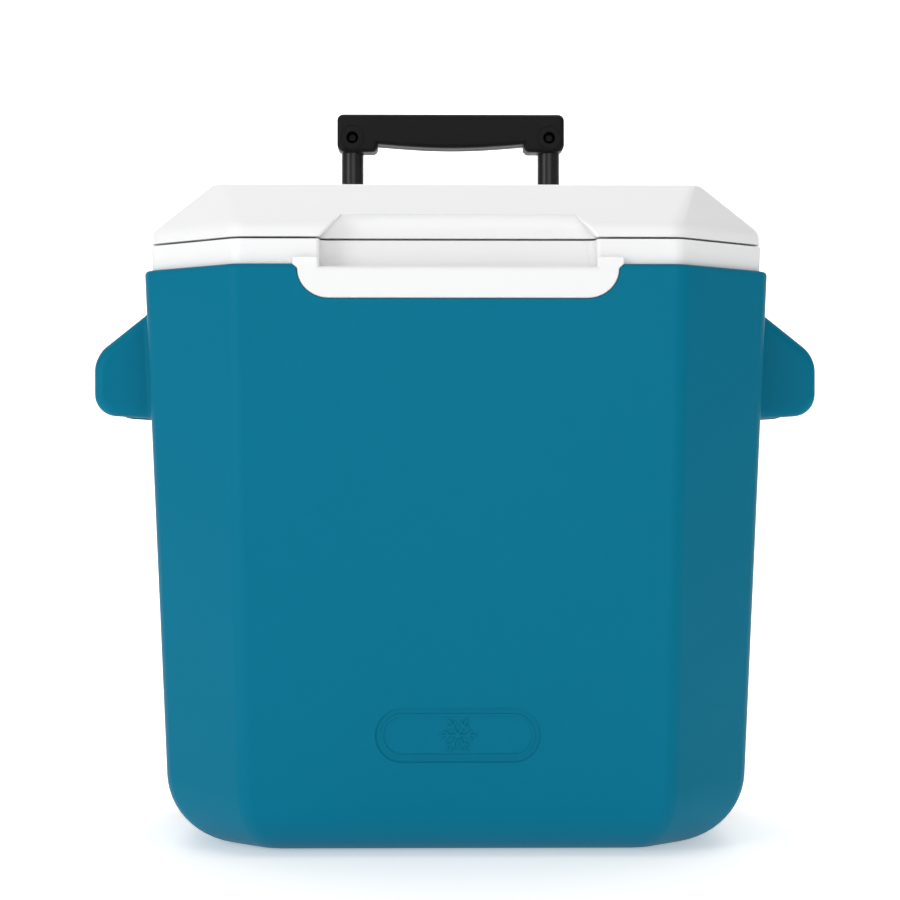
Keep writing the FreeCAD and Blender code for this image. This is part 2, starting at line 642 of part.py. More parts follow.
def make_lid():
    outside = lid_solid("lid_outside", "0", "lid_foot", "lid_top")
    doc.recompute()
    top = outside.Shape.BoundBox.ZMax
    on_top = lambda edge: edge.BoundBox.ZMin > top - 0.01
    inside = lid_solid("lid_inside", "lid_wall", "lid_foot - 5", "lid_top - lid_wall")
    round_edges(outside, "lid_top_edge", "lid_top_radius", on_top)
    hollow = cut("lid_hollow", inside, hinge_notch("notch_lining", "lid_wall"),
                 lid_recess("recess_lining", "lid_wall"))
    holes = [screw_hole("cover_" + key, x, y, z, "2 * leaf_screw_length")
             for key, x, y, z in leaf_screw_places()]
    cover = cut("cover", outside, hollow, hinge_notch("notch", "0"), lid_recess("recess", "0"), *holes)
    node(cover, "lid_cover")
    panel_top = "(lid_foot + lid_wall)"
    panel = tub("panel", f"rim_inset + lid_wall + seat_gap - {lean(panel_top)}", panel_top, "lid_foot", "",
                "crease_radius - rim_inset - lid_wall")
    plug_foot = "(rim_top - plug_depth)"
    plug_inset = "wall_thickness + plug_gap"
    plug = tub("plug", plug_inset, "lid_foot + lid_wall", plug_foot, "", "liner_radius - plug_gap")
    dish = tub("dish", f"{plug_inset} + lid_wall", "lid_foot + lid_wall + 5", f"{plug_foot} + lid_wall", "",
               "liner_radius - plug_gap - lid_wall")
    tools = (dish, hinge_notch("notch_panel", "lid_wall + seat_gap"),
             lid_recess("recess_panel", "lid_wall + seat_gap"))
    node(cut("panel_cut", fuse("panel_solid", panel, plug), *tools), "lid_liner")
    gap = "seat_gap"
    block = lid_solid("lid_foam_block", f"lid_wall + {gap}", f"lid_foot + lid_wall + {gap}",
                      f"lid_top - lid_wall - {gap}")
    filler = tub("lid_foam_plug", f"{plug_inset} + lid_wall + {gap}", "lid_foot + lid_wall + 5",
                 f"{plug_foot} + lid_wall + {gap}", "", "liner_radius - plug_gap - lid_wall - seat_gap")
    holes = [screw_hole("lid_foam_" + key, x, y, z, "2 * leaf_screw_length")
             for key, x, y, z in leaf_screw_places()]
    tools = (hinge_notch("notch_foam", f"lid_wall + 2 * {gap}"),
             lid_recess("recess_foam", f"lid_wall + 2 * {gap}"), *holes)
    node(cut("lid_foam_cut", fuse("lid_foam_solid", block, filler), *tools), "lid_foam")


# ------------------------------------------------------------------- fasteners
def back_screw(name, x, y, z, length):
    """A round-headed screw driven forwards: the head stands on the face at y."""
    head = rod(name + "_head", "screw_head", "head_height", x, y, z, "Y")
    shank = rod(name + "_shank", "screw_radius", length, x, f"({y}) - ({length})", z, "Y")
    return fuse(name, head, shank)


def screw_hole(name, x, y, z, length):
    return rod(name, "screw_radius + screw_gap", length, x, f"({y}) - ({length})", z, "Y")


def bracket_screw_places():
    """Each bracket screw: its name, x, the plate's outer face and z."""
    places = []
    for level in ("high", "low"):
        face = f"(back_face - {lean('bracket_' + level + ' + bracket_height')} + bracket_plate)"
        for side, sign in SIDES:
            for row, rise in (("a", "-"), ("b", "+")):
                z = f"bracket_{level} + (bracket_height {rise} bracket_pitch) / 2"
                places.append((f"{level}_{side}_{row}", f"{sign} * (tube_x - bracket_screws)", face, z))
    return places


def hinge_screw_places():
    """Each hinge base screw: its name, x, the plate's outer face and z."""
    places = []
    for side, sign in SIDES:
        for row, part in (("a", "-"), ("b", "+")):
            x = f"{sign} * hinge_x {part} hinge_screws / 2"
            places.append((f"hinge_{side}_{row}", x, "hinge_face",
                           "shell_height - hinge_drop / 2 - shell_wall"))
    return places


def shell_screw_holes(tag):
    places = bracket_screw_places() + hinge_screw_places()
    return [screw_hole(f"{tag}_{key}", x, y, z, "screw_length + 2") for key, x, y, z in places]


# --------------------------------------------------------------------- hinges
def make_hinges():
    """Two barrel hinges: base on the tub's back, leaf on the lid, steel pin."""
    for side, sign in SIDES:
        middle = f"({sign} * hinge_x)"
        ends = ((f"{middle} - hinge_width / 2", f"{middle} - hinge_ring"),
                (f"{middle} + hinge_ring", f"{middle} + hinge_width / 2"))
        wide = (f"{middle} - hinge_width / 2", f"{middle} + hinge_width / 2")
        clear = "hinge_y + knuckle_radius + 1"
        plate = box(f"base_plate_{side}", wide, ("back_face - rim_inset - 3", "hinge_face"),
                    ("shell_height - hinge_drop", "rim_top"))
        wall = box(f"base_wall_{side}", wide, (clear, "hinge_face"), ("rim_top", "hinge_z"))
        parts = [plate, wall]
        for number, span in enumerate(ends):
            parts.append(rod(f"base_ring_{side}_{number}", "knuckle_radius",
                             f"({span[1]}) - ({span[0]})", span[0], "hinge_y", "hinge_z", "X"))
            parts.append(box(f"base_arm_{side}_{number}", span, ("hinge_y", "hinge_face"),
                             ("hinge_z - knuckle_radius", "hinge_z")))
        skin = tub(f"base_fit_{side}", "-seat_gap / 2", "shell_height", "shell_height - 60", "",
                   "crease_radius")
        rim_skin = tub(f"base_rim_fit_{side}", "rim_inset - seat_gap / 2", "rim_top + 0.1",
                       "shell_height - 1", "", "crease_radius - rim_inset")
        bore = rod(f"base_bore_{side}", "pin_radius + running_gap", "3 * hinge_width",
                   f"{middle} - 1.5 * hinge_width", "hinge_y", "hinge_z", "X")
        holes = [screw_hole("base_" + key, x, y, z, "2 * screw_length")
                 for key, x, y, z in hinge_screw_places() if side in key]
        node(cut(f"base_{side}", fuse(f"base_solid_{side}", *parts), skin, rim_skin, bore, *holes),
             f"hinge_base_{side}")
        pin = rod(f"pin_{side}", "pin_radius", "hinge_width + 1", f"{middle} - hinge_width / 2 - 0.5",
                  "hinge_y", "hinge_z", "X")
        node(pin, f"hinge_pin_{side}")
        inner = (f"{middle} - hinge_ring + hinge_side_gap", f"{middle} + hinge_ring - hinge_side_gap")
        barrel = rod(f"leaf_ring_{side}", "knuckle_radius", f"({inner[1]}) - ({inner[0]})", inner[0],
                     "hinge_y", "hinge_z", "X")
        neck = box(f"leaf_neck_{side}", inner, ("leaf_front", "hinge_y"),
                   ("hinge_z - knuckle_radius", "hinge_z + 2"))
        leaf_y = ("leaf_front + seat_gap / 2", "leaf_front + hinge_leaf")
        leaf = box(f"leaf_plate_{side}", wide, leaf_y, ("lid_foot + 3", "hinge_z + 2 * knuckle_radius"))
        solid = fuse(f"leaf_solid_{side}", barrel, neck, leaf)
        trim = box(f"leaf_trim_{side}", wide, ("-far", leaf_y[0]), ("0", "2 * far"))
        bore = rod(f"leaf_bore_{side}", "pin_radius + running_gap", "3 * hinge_width",
                   f"{middle} - 1.5 * hinge_width", "hinge_y", "hinge_z", "X")
        holes = [screw_hole("leaf_" + key, x, y, z, "2 * screw_length")
                 for key, x, y, z in leaf_screw_places() if side in key]
        node(cut(f"leaf_{side}", solid, trim, bore, *holes), f"hinge_leaf_{side}")


def leaf_screw_places():
    """Each hinge leaf screw: its name, x, the leaf's outer face and z."""
    places = []
    face = "leaf_front + hinge_leaf"
    for side, sign in SIDES:
        for row, part in (("a", "-"), ("b", "+")):
            x = f"{sign} * hinge_x {part} (hinge_width / 2 - screw_radius - 2)"
            places.append((f"leafscrew_{side}_{row}", x, face, "lid_foot + 3 + screw_radius + 3"))
    return places


def make_screws():
    screws = [back_screw("screw_" + key, x, y, z, "screw_length")
              for key, x, y, z in bracket_screw_places()]
    node(group("bracket_screw_set", screws), "bracket_screws")
    screws = [back_screw("screw_" + key, x, y, z, "screw_length")
              for key, x, y, z in hinge_screw_places()]
    node(group("hinge_screw_set", screws), "hinge_base_screws")
    screws = []
    for key, x, y, z in leaf_screw_places():
        head = rod(key + "_head", "screw_radius + leaf_head_step", "leaf_head_height", x, y, z, "Y")
        shank = rod(key + "_shank", "screw_radius", "leaf_screw_length", x,
                    f"({y}) - leaf_screw_length", z, "Y")
        screws.append(fuse(key, head, shank))
    node(group("leaf_screw_set", screws), "hinge_leaf_screws")


# ---------------------------------------------------------------- pull handle
def tube(name, radius, x, low, high):
    """A round steel tube that stands upright behind the tub."""
    outside = rod(name + "_outside", radius, f"({high}) - ({low})", x, "tube_y", low)
    inside = rod(name + "_inside", f"({radius}) - tube_wall", f"({high}) - ({low}) + 2", x, "tube_y",
                 f"({low}) - 1")
    return cut(name, outside, inside)


def upright(name, radius, x, low, high):
    return rod(name, radius, f"({high}) - ({low})", x, "tube_y", low)


def make_bracket(level):
    """A black moulding screwed to the back, with a ring round each guide tube."""
    low = "bracket_" + level
    high = f"({low} + bracket_height)"
    face = f"(back_face - {lean(high)} + bracket_plate)"
    ring = "(guide_radius + bracket_wall)"
    spread = f"(tube_x + {ring})"
    parts = [box(f"bracket_plate_{level}", (f"-{spread}", spread), ("back_face - 30", face), (low, high))]
    bores = []
    for side, sign in SIDES:
        x = f"{sign} * tube_x"
        arm = (f"{x} - {ring}", f"{x} + {ring}")
        parts.append(box(f"bracket_arm_{level}_{side}", arm, (f"{face} - 1", "tube_y"), (low, high)))
        parts.append(upright(f"bracket_ring_{level}_{side}", ring, x, low, high))
        bores.append(upright(f"bracket_bore_{level}_{side}", "guide_radius + running_gap", x,
                             f"{low} - 1", f"{high} + 1"))
    skin = tub(f"bracket_fit_{level}", "-seat_gap / 2", "shell_height", "0", "base_radius", "crease_radius")
    holes = [screw_hole("bracket_" + key, x, y, z, "2 * screw_length")
             for key, x, y, z in bracket_screw_places() if level in key]
    names = {"high": "handle_bracket_upper", "low": "handle_bracket_lower"}
    node(cut("bracket_" + level + "_solid", fuse(f"bracket_{level}_blank", *parts), skin, *bores,
             *holes), names[level])


def make_guides():
    """The fixed tubes, each with a collar at the top and a plug at the foot."""
    for side, sign in SIDES:
        x = f"{sign} * tube_x"
        node(tube("guide_" + side, "guide_radius", x, "guide_foot", "guide_top"), "guide_tube_" + side)
        ring = upright("collar_block_" + side, "guide_radius + collar_wall", x, "guide_top - collar_length",
                       "guide_top + collar_cap")
        seat = upright("collar_seat_" + side, "guide_radius + running_gap", x,
                       "guide_top - collar_length - 1", "guide_top + running_gap")
        bore = upright("collar_bore_" + side, "middle_radius + slide_gap", x, "guide_top - 1",
                       "guide_top + collar_cap + 1")
        node(cut("collar_" + side, ring, seat, bore), "guide_collar_" + side)
        flange = upright("plug_flange_" + side, "guide_radius", x, "guide_foot - 3",
                         "guide_foot - running_gap")
        spigot = upright("plug_spigot_" + side, "guide_radius - tube_wall - running_gap", x,
                         "guide_foot - 1", "guide_foot + spigot_length")
        node(fuse("plug_" + side, flange, spigot), "guide_plug_" + side)


def make_slider(stage, side, x, foot, outer, inner):
    """A plastic foot that keeps a sliding tube central in the tube round it."""
    block = upright(f"{stage}_slider_block_{side}", f"{outer} - tube_wall - slide_gap", x,
                    f"{foot} - slider_length", f"{foot} - running_gap")
    spigot = upright(f"{stage}_slider_spigot_{side}", f"{inner} - tube_wall - running_gap", x,
                     f"{foot} - 1", f"{foot} + spigot_length")
    node(fuse(f"{stage}_slider_solid_{side}", block, spigot), f"{stage}_slider_{side}")


def make_middle_stage():
    parts = []
    cuts = []
    for side, sign in SIDES:
        x = f"{sign} * tube_x"
        node(tube("middle_" + side, "middle_radius", x, "middle_foot", "middle_top"), "middle_tube_" + side)
        make_slider("middle", side, x, "middle_foot", "guide_radius", "middle_radius")
        parts.append(upright("bridge_ring_" + side, "guide_radius + collar_wall", x, "bridge_foot",
                             "middle_top + bridge_cap"))
        cuts.append(upright("bridge_seat_" + side, "middle_radius + running_gap", x, "bridge_foot - 1",
                            "middle_top + running_gap"))
        cuts.append(upright("bridge_bore_" + side, "inner_radius + slide_gap", x, "middle_top - 1",
                            "middle_top + bridge_cap + 1"))
    web = box("bridge_web", ("-tube_x", "tube_x"), ("tube_y - 5", "tube_y + 5"),
              ("bridge_foot + 6", "middle_top"))
    node(cut("bridge", fuse("bridge_blank", web, *parts), *cuts), "stage_bridge")


def grip_block():
    """The whole grip: a rounded bar with a thicker boss over each tube."""
    bar = new_body("grip_bar")
    points = (
        ("-grip_half", "grip_bottom + grip_lift"),
        ("grip_half", "grip_bottom + grip_lift"),
        ("grip_half", "grip_bottom + grip_height"),
        ("-grip_half", "grip_bottom + grip_height"),
    )
    feature = pad(bar, "grip_bar_pad", outline(bar, "grip_bar_plan", "XZ_Plane", points),
                  Length="grip_depth")
    feature.Midplane = True
    round_edges(bar, "grip_bar_corners", "grip_radius - 3", lambda edge: edge.BoundBox.YLength > 10)
    round_edges(bar, "grip_bar_edges", "grip_radius", lambda edge: edge.BoundBox.YLength < 0.1)
    bind(bar, base_y="tube_y")
    solids = [bar]
    for side, sign in SIDES:
        boss = new_body("grip_boss_" + side)
        points = (
            (f"{sign} * grip_half", "grip_bottom"),
            (f"{sign} * (grip_half - grip_end)", "grip_bottom"),
            (f"{sign} * (grip_half - grip_end)", "grip_bottom + grip_height / 2"),
            (f"{sign} * grip_half", "grip_bottom + grip_height / 2"),
        )
        feature = pad(boss, f"grip_boss_pad_{side}",
                      outline(boss, f"grip_boss_plan_{side}", "XZ_Plane", points),
                      Length="grip_depth")
        feature.Midplane = True
        doc.recompute()
        low = feature.Shape.BoundBox.ZMin
        pick = lambda edge: edge.BoundBox.ZMin < low + 0.01 and edge.BoundBox.ZLength < 0.01
        uprights = lambda edge: edge.BoundBox.ZLength > 8
        round_edges(boss, f"grip_boss_uprights_{side}", "grip_radius - 1", uprights)
        round_edges(boss, f"grip_boss_foot_{side}", "grip_lift - 0.5", pick)
        solids.append(bind(boss, base_y="tube_y"))
    return fuse("grip_block", *solids)


def make_inner_stage():
    block = grip_block()
    height = "grip_bottom + grip_screw_rise"
    front = "(tube_y - grip_depth / 2)"
    seat = f"({front} + grip_screw_sink)"
    bores = []
    screws = []
    for side, sign in SIDES:
        x = f"{sign} * tube_x"
        hole = rod("grip_hole_" + side, "screw_radius + screw_gap", "grip_depth - 2 * screw_gap - 4", x,
                   seat, height, "Y")
        sink = rod("grip_sink_" + side, "screw_head + 2 * screw_gap", "2 * grip_depth", x,
                   f"{seat} - 2 * grip_depth", height, "Y")
        bore = upright("grip_bore_" + side, "inner_radius + running_gap", x, "grip_bottom - 10",
                       "inner_top + running_gap")
        bores += [bore, hole, sink]
        blank = tube("inner_" + side, "inner_radius", x, "inner_foot", "inner_top")
        node(cut("inner_drilled_" + side, blank, hole), "inner_tube_" + side)
        make_slider("inner", side, x, "inner_foot", "middle_radius", "inner_radius")
        head = rod("grip_screw_head_" + side, "screw_head", "head_height", x, f"{seat} - head_height",
                   height, "Y")
        shank = rod("grip_screw_shank_" + side, "screw_radius", "grip_depth - 10", x, seat, height, "Y")
        screws.append(fuse("grip_screw_" + side, head, shank))
    room = ("-(tube_x - inner_radius - 2 * grip_wall)", "tube_x - inner_radius - 2 * grip_wall")
    deep = ("tube_y - grip_depth / 2 + grip_wall", "tube_y + grip_depth / 2 - grip_wall")
    tall = ("grip_bottom + grip_lift + grip_wall", "grip_bottom + grip_height - grip_wall")
    cavity = box("grip_cavity", room, deep, tall)
    halves = (("front", ("-far", "tube_y - seat_gap / 6")), ("rear", ("tube_y + seat_gap / 6", "far")))
    for name, span in halves:
        side_box = box("grip_side_" + name, ("-far", "far"), span, ("0", "2 * far"))
        half = common("grip_half_" + name, block, side_box)
        node(cut("grip_cut_" + name, half, cavity, *bores), "grip_" + name)
    node(group("grip_screw_set", screws), "grip_screws")


# --------------------------------------------------------------------- wheels
def make_axle():
    x_end = "(wheel_outer + hub_stand + nut_length)"
    node(rod("axle_rod", "axle_radius", f"2 * {x_end}", f"-{x_end}", "axle_y", "axle_z", "X"), "axle")
    reach = "(well_inner - seat_gap)"
    outside = rod("sleeve_outside", "sleeve_radius", f"2 * {reach}", f"-{reach}", "axle_y", "axle_z", "X")
    inside = rod("sleeve_inside", "axle_bore", f"2 * {reach} + 2", f"-{reach} - 1", "axle_y", "axle_z", "X")
    node(cut("sleeve", outside, inside), "axle_sleeve")
    for side, sign in SIDES:
        start = f"{sign} * (well_inner + seat_gap)"
        stop = f"{sign} * (well_inner + seat_gap + washer_thick)"
        washer = ((start, "axle_bore"), (stop, "axle_bore"), (stop, "nut_radius + 2"),
                  (start, "nut_radius + 2"))
        node(spin("washer_" + side, washer, "axle_y", "axle_z"), "axle_washer_" + side)
        start = f"{sign} * (wheel_outer + hub_stand + seat_gap)"
        stop = f"{sign} * ({x_end} - seat_gap)"
        nut = ((start, "axle_bore"), (stop, "axle_bore"), (stop, "nut_radius - 1"), (start, "nut_radius"))
        node(spin("nut_" + side, nut, "axle_y", "axle_z"), "axle_nut_" + side)


def make_wheel(side, sign):
    """Moulded hub with a bush, a tyre round it and a cap over the axle's end."""
    def at(x, radius):
        return (f"{sign} * ({x})", radius)
    bush = "(axle_bore + bush_wall)"
    seat = f"({bush} + running_gap)"
    rim = "(wheel_radius - tyre_depth)"
    under_rim = f"{rim} - hub_rim"
    hub_start = "wheel_inner - hub_stand"
    hub_stop = "wheel_outer + hub_stand"
    web_start = "wheel_inner + tyre_width / 2 - hub_web / 2"
    web_stop = "wheel_inner + tyre_width / 2 + hub_web / 2"
    rim_start = "wheel_inner + 1"
    rim_stop = "wheel_outer - 1"
    hub = spin("hub_" + side, (
        at(hub_start, seat),
        at(hub_start, "hub_barrel"),
        at(web_start, "hub_barrel"),
        at(web_start, under_rim),
        at(rim_start, under_rim),
        at(rim_start, rim),
        at(rim_stop, rim),
        at(rim_stop, under_rim),
        at(web_stop, under_rim),
        at(web_stop, "hub_barrel"),
        at(hub_stop, "hub_barrel"),
        at(hub_stop, seat),
    ), "axle_y", "axle_z")
    holes = []
    ring = f"((hub_barrel + {rim} - hub_rim) / 2)"
    start = "wheel_inner" if sign == "1" else "-wheel_outer"
    for number in range(6):
        turn = f"{60 * number} * 1 deg"
        holes.append(rod(f"hub_hole_{side}_{number}", "hub_hole", "tyre_width", start,
                         f"axle_y + {ring} * cos({turn})", f"axle_z + {ring} * sin({turn})", "X"))
    node(cut("hub_drilled_" + side, hub, *holes), "wheel_hub_" + side)
    tyre = spin("tyre_" + side, (
        at("wheel_inner", f"{rim} + running_gap"),
        at("wheel_outer", f"{rim} + running_gap"),
        at("wheel_outer", "wheel_radius"),
        at("wheel_inner", "wheel_radius"),
    ), "axle_y", "axle_z")
    edge_radius = sheet.get("wheel_radius") - 0.01
    round_edges(tyre, "tyre_edges_" + side, "tyre_radius",
                lambda edge: edge.BoundBox.ZLength > 2 * edge_radius)
    node(tyre, "wheel_tyre_" + side)
    bearing = spin("bush_" + side, (
        at(hub_start, "axle_bore"),
        at(hub_stop, "axle_bore"),
        at(hub_stop, bush),
        at(hub_start, bush),
    ), "axle_y", "axle_z")
    node(bearing, "wheel_bush_" + side)
    lip = f"{web_stop} + seat_gap / 3"
    inside = f"{hub_stop} + nut_length + 0.5"
    cap = spin("cap_" + side, (
        at(lip, "hub_barrel + running_gap"),
        at(lip, "hub_barrel + cap_wall"),
        at(f"{inside} + cap_wall / 2", "hub_barrel + cap_wall"),
        at(f"{inside} + cap_wall", "hub_barrel"),
        at(f"{inside} + cap_wall", "0"),
        at(inside, "0"),
        at(inside, "hub_barrel + running_gap"),
    ), "axle_y", "axle_z")
    node(cap, "wheel_cap_" + side)


# ---------------------------------------------------------------------- build
def check():
    """Stop at any object that failed and any piece without a sound shape."""
    for obj in doc.Objects:
        if "Invalid" in obj.State or "Error" in obj.State:
            raise RuntimeError(f"{obj.Name} failed: {obj.State}")
    for obj in NODES:
        if obj.Shape.isNull() or not obj.Shape.isValid():
            raise RuntimeError(f"{obj.Label} has no sound shape")
    labels = [obj.Label for obj in NODES]
    if len(set(labels)) != len(labels):
        raise RuntimeError("two pieces share a name")


make_shell()
make_liner()
make_foam()
make_lid()
make_hinges()
make_screws()
make_bracket("high")
make_bracket("low")
make_guides()
make_middle_stage()
make_inner_stage()
make_axle()
for wheel_side, wheel_sign in SIDES:
    make_wheel(wheel_side, wheel_sign)
doc.recompute()
check()

os.makedirs("parts", exist_ok=True)
for piece in NODES:
    piece.Shape.exportStep(os.path.join("parts", piece.Label + ".step"))
print(len(NODES), "pieces written")
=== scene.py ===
import json
import math

import bmesh
import bpy
from mathutils import Matrix, Vector


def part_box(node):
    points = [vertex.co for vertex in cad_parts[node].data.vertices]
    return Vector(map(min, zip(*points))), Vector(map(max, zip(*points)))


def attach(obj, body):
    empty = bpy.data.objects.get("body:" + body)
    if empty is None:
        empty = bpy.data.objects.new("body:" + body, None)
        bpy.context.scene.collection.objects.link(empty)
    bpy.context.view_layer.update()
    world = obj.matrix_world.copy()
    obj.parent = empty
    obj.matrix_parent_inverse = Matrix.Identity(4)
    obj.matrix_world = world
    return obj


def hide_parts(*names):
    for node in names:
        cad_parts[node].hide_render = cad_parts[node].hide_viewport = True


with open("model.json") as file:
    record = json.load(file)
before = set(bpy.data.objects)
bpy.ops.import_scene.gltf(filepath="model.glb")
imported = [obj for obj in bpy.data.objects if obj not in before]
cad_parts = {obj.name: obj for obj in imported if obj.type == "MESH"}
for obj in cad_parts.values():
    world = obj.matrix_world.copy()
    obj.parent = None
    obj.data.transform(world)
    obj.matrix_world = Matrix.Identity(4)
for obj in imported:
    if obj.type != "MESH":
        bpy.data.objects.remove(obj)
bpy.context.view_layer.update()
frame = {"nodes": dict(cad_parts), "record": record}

# ---------------------------------------------------------------- camera, floor and light
# The cooler stands on a plain pale floor that runs up into a pale wall, under soft studio
# light from large panels.  The camera looks level at the front, from a little to the left.

shell_low, shell_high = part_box("outer_shell")

camera_data = bpy.data.cameras.new("camera")
camera_data.lens = 100
camera_data.sensor_width = 36
camera = bpy.data.objects.new("camera", camera_data)
bpy.context.collection.objects.link(camera)
camera_distance = 1.5
camera_turn = math.radians(0.9)
camera_height = 0.2387
camera.location = (
    -math.sin(camera_turn) * (camera_distance - shell_low.y),
    shell_low.y - camera_distance,
    camera_height,
)
camera.rotation_euler = (math.radians(90), 0, -camera_turn)
camera_data.shift_x = -0.005
camera_data.shift_y = 0.0165
camera_data.dof.use_dof = False
camera_data.clip_start = 0.05
camera_data.clip_end = 50
bpy.context.scene.camera = camera
bpy.context.scene.view_settings.view_transform = "Standard"

sweep_half = 3.0
sweep_front = -3.0
sweep_back = 2.7
sweep_radius = 0.8
sweep_height = 3.2
sweep = bmesh.new()
first = sweep.verts.new((-sweep_half, sweep_front, 0))
second = sweep.verts.new((-sweep_half, sweep_back - sweep_radius, 0))
sweep.edges.new((first, second))
bmesh.ops.spin(
    sweep, geom=[second], cent=(-sweep_half, sweep_back - sweep_radius, sweep_radius), axis=(1, 0, 0),
    angle=math.radians(90), steps=24, use_duplicate=False)
last = max(sweep.verts, key=lambda corner: corner.co.z)
sweep.edges.new((last, sweep.verts.new((-sweep_half, last.co.y, sweep_height))))
wide = bmesh.ops.extrude_edge_only(sweep, edges=list(sweep.edges))["geom"]
bmesh.ops.translate(
    sweep, verts=[item for item in wide if isinstance(item, bmesh.types.BMVert)], vec=(2 * sweep_half, 0, 0))
bmesh.ops.recalc_face_normals(sweep, faces=list(sweep.faces))
floor_mesh = bpy.data.meshes.new("studio_floor")
sweep.to_mesh(floor_mesh)
sweep.free()
floor_mesh.shade_smooth()
floor = bpy.data.objects.new("studio_floor", floor_mesh)
bpy.context.collection.objects.link(floor)
floor_paint = bpy.data.materials.new("studio_floor")
floor_paint.use_nodes = True
floor_shader = floor_paint.node_tree.nodes["Principled BSDF"]
floor_shader.inputs["Base Color"].default_value = (0.96, 0.96, 0.96, 1)
floor_shader.inputs["Roughness"].default_value = 0.7
floor_shader.inputs["Specular IOR Level"].default_value = 0.1
floor_shader.inputs["Emission Color"].default_value = (1, 1, 1, 1)
floor_shader.inputs["Emission Strength"].default_value = 0.38
floor_mesh.materials.append(floor_paint)

world = bpy.data.worlds.new("studio")
bpy.context.scene.world = world
world.use_nodes = True
world.node_tree.nodes["Background"].inputs["Color"].default_value = (1, 1, 1, 1)
world.node_tree.nodes["Background"].inputs["Strength"].default_value = 0.39


def add_panel(name, place, aim, width, height, power):
    """A large soft light panel turned towards a point."""
    lamp = bpy.data.lights.new(name, "AREA")
    lamp.shape = "RECTANGLE"
    lamp.size = width
    lamp.size_y = height
    lamp.energy = power
    panel = bpy.data.objects.new(name, lamp)
    panel.location = place
    panel.rotation_euler = (Vector(aim) - Vector(place)).to_track_quat("-Z", "Y").to_euler()
    bpy.context.collection.objects.link(panel)


add_panel("panel_left", (-2.2, -1.9, 0.8), (0, 0, 0.25), 1.2, 1.6, 23)
add_panel("panel_front", (0.4, -3.4, 0.9), (0, 0, 0.25), 2.2, 1.4, 21)
add_panel("panel_top", (0, -0.2, 2.3), (0, 0.1, 0.2), 2.0, 1.6, 13)
add_panel("panel_wall", (0, 1.5, 2.7), (0, 2.7, 0.9), 3.6, 0.6, 48)


# ---------------------------------------------------------------- outer shell
# The teal shell is one polypropylene moulding with leaning walls, cut-off corners, a deep
# rounding round the foot and a hand hold on each side.  The liner drops in from above.

def new_group(name, inputs, outputs):
    """An empty shader group with named sockets, and its two end nodes."""
    group = bpy.data.node_groups.new(name, "ShaderNodeTree")
    for label, kind, value in inputs:
        socket = group.interface.new_socket(name=label, in_out="INPUT", socket_type=kind)
        if value is not None:
            socket.default_value = value
    for label, kind in outputs:
        group.interface.new_socket(name=label, in_out="OUTPUT", socket_type=kind)
    return group, group.nodes.new("NodeGroupInput"), group.nodes.new("NodeGroupOutput")


def math_node(tree, operation, first, second):
    """A Math node on two sockets or numbers; gives its output."""
    node = tree.nodes.new("ShaderNodeMath")
    node.operation = operation
    for index, value in enumerate((first, second)):
        if isinstance(value, (int, float)):
            node.inputs[index].default_value = value
        else:
            tree.links.new(value, node.inputs[index])
    return node.outputs[0]


moulding, moulding_in, moulding_out = new_group(
    "moulded_surface",
    (("Vector", "NodeSocketVector", None), ("Colour", "NodeSocketColor", (0.5, 0.5, 0.5, 1)),
     ("Shift", "NodeSocketFloat", 0.04), ("Grain Scale", "NodeSocketFloat", 1500.0),
     ("Grain Depth", "NodeSocketFloat", 0.1), ("Roughness", "NodeSocketFloat", 0.4),
     ("Edge Wear", "NodeSocketFloat", 0.03)),
    (("Colour", "NodeSocketColor"), ("Roughness", "NodeSocketFloat"), ("Normal", "NodeSocketVector")))
slow = moulding.nodes.new("ShaderNodeTexNoise")
slow.inputs["Scale"].default_value = 7.0
slow.inputs["Detail"].default_value = 3.0
moulding.links.new(moulding_in.outputs["Vector"], slow.inputs["Vector"])
fine = moulding.nodes.new("ShaderNodeTexNoise")
fine.inputs["Detail"].default_value = 2.0
moulding.links.new(moulding_in.outputs["Vector"], fine.inputs["Vector"])
moulding.links.new(moulding_in.outputs["Grain Scale"], fine.inputs["Scale"])
edge = moulding.nodes.new("ShaderNodeNewGeometry")
edge_mask = moulding.nodes.new("ShaderNodeMapRange")
edge_mask.inputs["From Min"].default_value = 0.54
edge_mask.inputs["From Max"].default_value = 0.62
moulding.links.new(edge.outputs["Pointiness"], edge_mask.inputs["Value"])
worn = math_node(moulding, "MULTIPLY", edge_mask.outputs["Result"], moulding_in.outputs["Edge Wear"])
centred = math_node(moulding, "SUBTRACT", slow.outputs["Fac"], 0.5)
swing = math_node(moulding, "MULTIPLY", centred, moulding_in.outputs["Shift"])
bright = math_node(moulding, "ADD", math_node(moulding, "ADD", swing, 1.0), worn)
tint = moulding.nodes.new("ShaderNodeHueSaturation")
moulding.links.new(moulding_in.outputs["Colour"], tint.inputs["Color"])
moulding.links.new(bright, tint.inputs["Value"])
moulding.links.new(tint.outputs["Color"], moulding_out.inputs["Colour"])
speck = math_node(moulding, "MULTIPLY", math_node(moulding, "SUBTRACT", fine.outputs["Fac"], 0.5), 0.12)
spread = math_node(moulding, "SUBTRACT", speck, worn)
moulding.links.new(math_node(moulding, "ADD", moulding_in.outputs["Roughness"], spread),
                   moulding_out.inputs["Roughness"])
grain = moulding.nodes.new("ShaderNodeBump")
grain.inputs["Distance"].default_value = 0.0002
moulding.links.new(fine.outputs["Fac"], grain.inputs["Height"])
moulding.links.new(moulding_in.outputs["Grain Depth"], grain.inputs["Strength"])
moulding.links.new(grain.outputs["Normal"], moulding_out.inputs["Normal"])


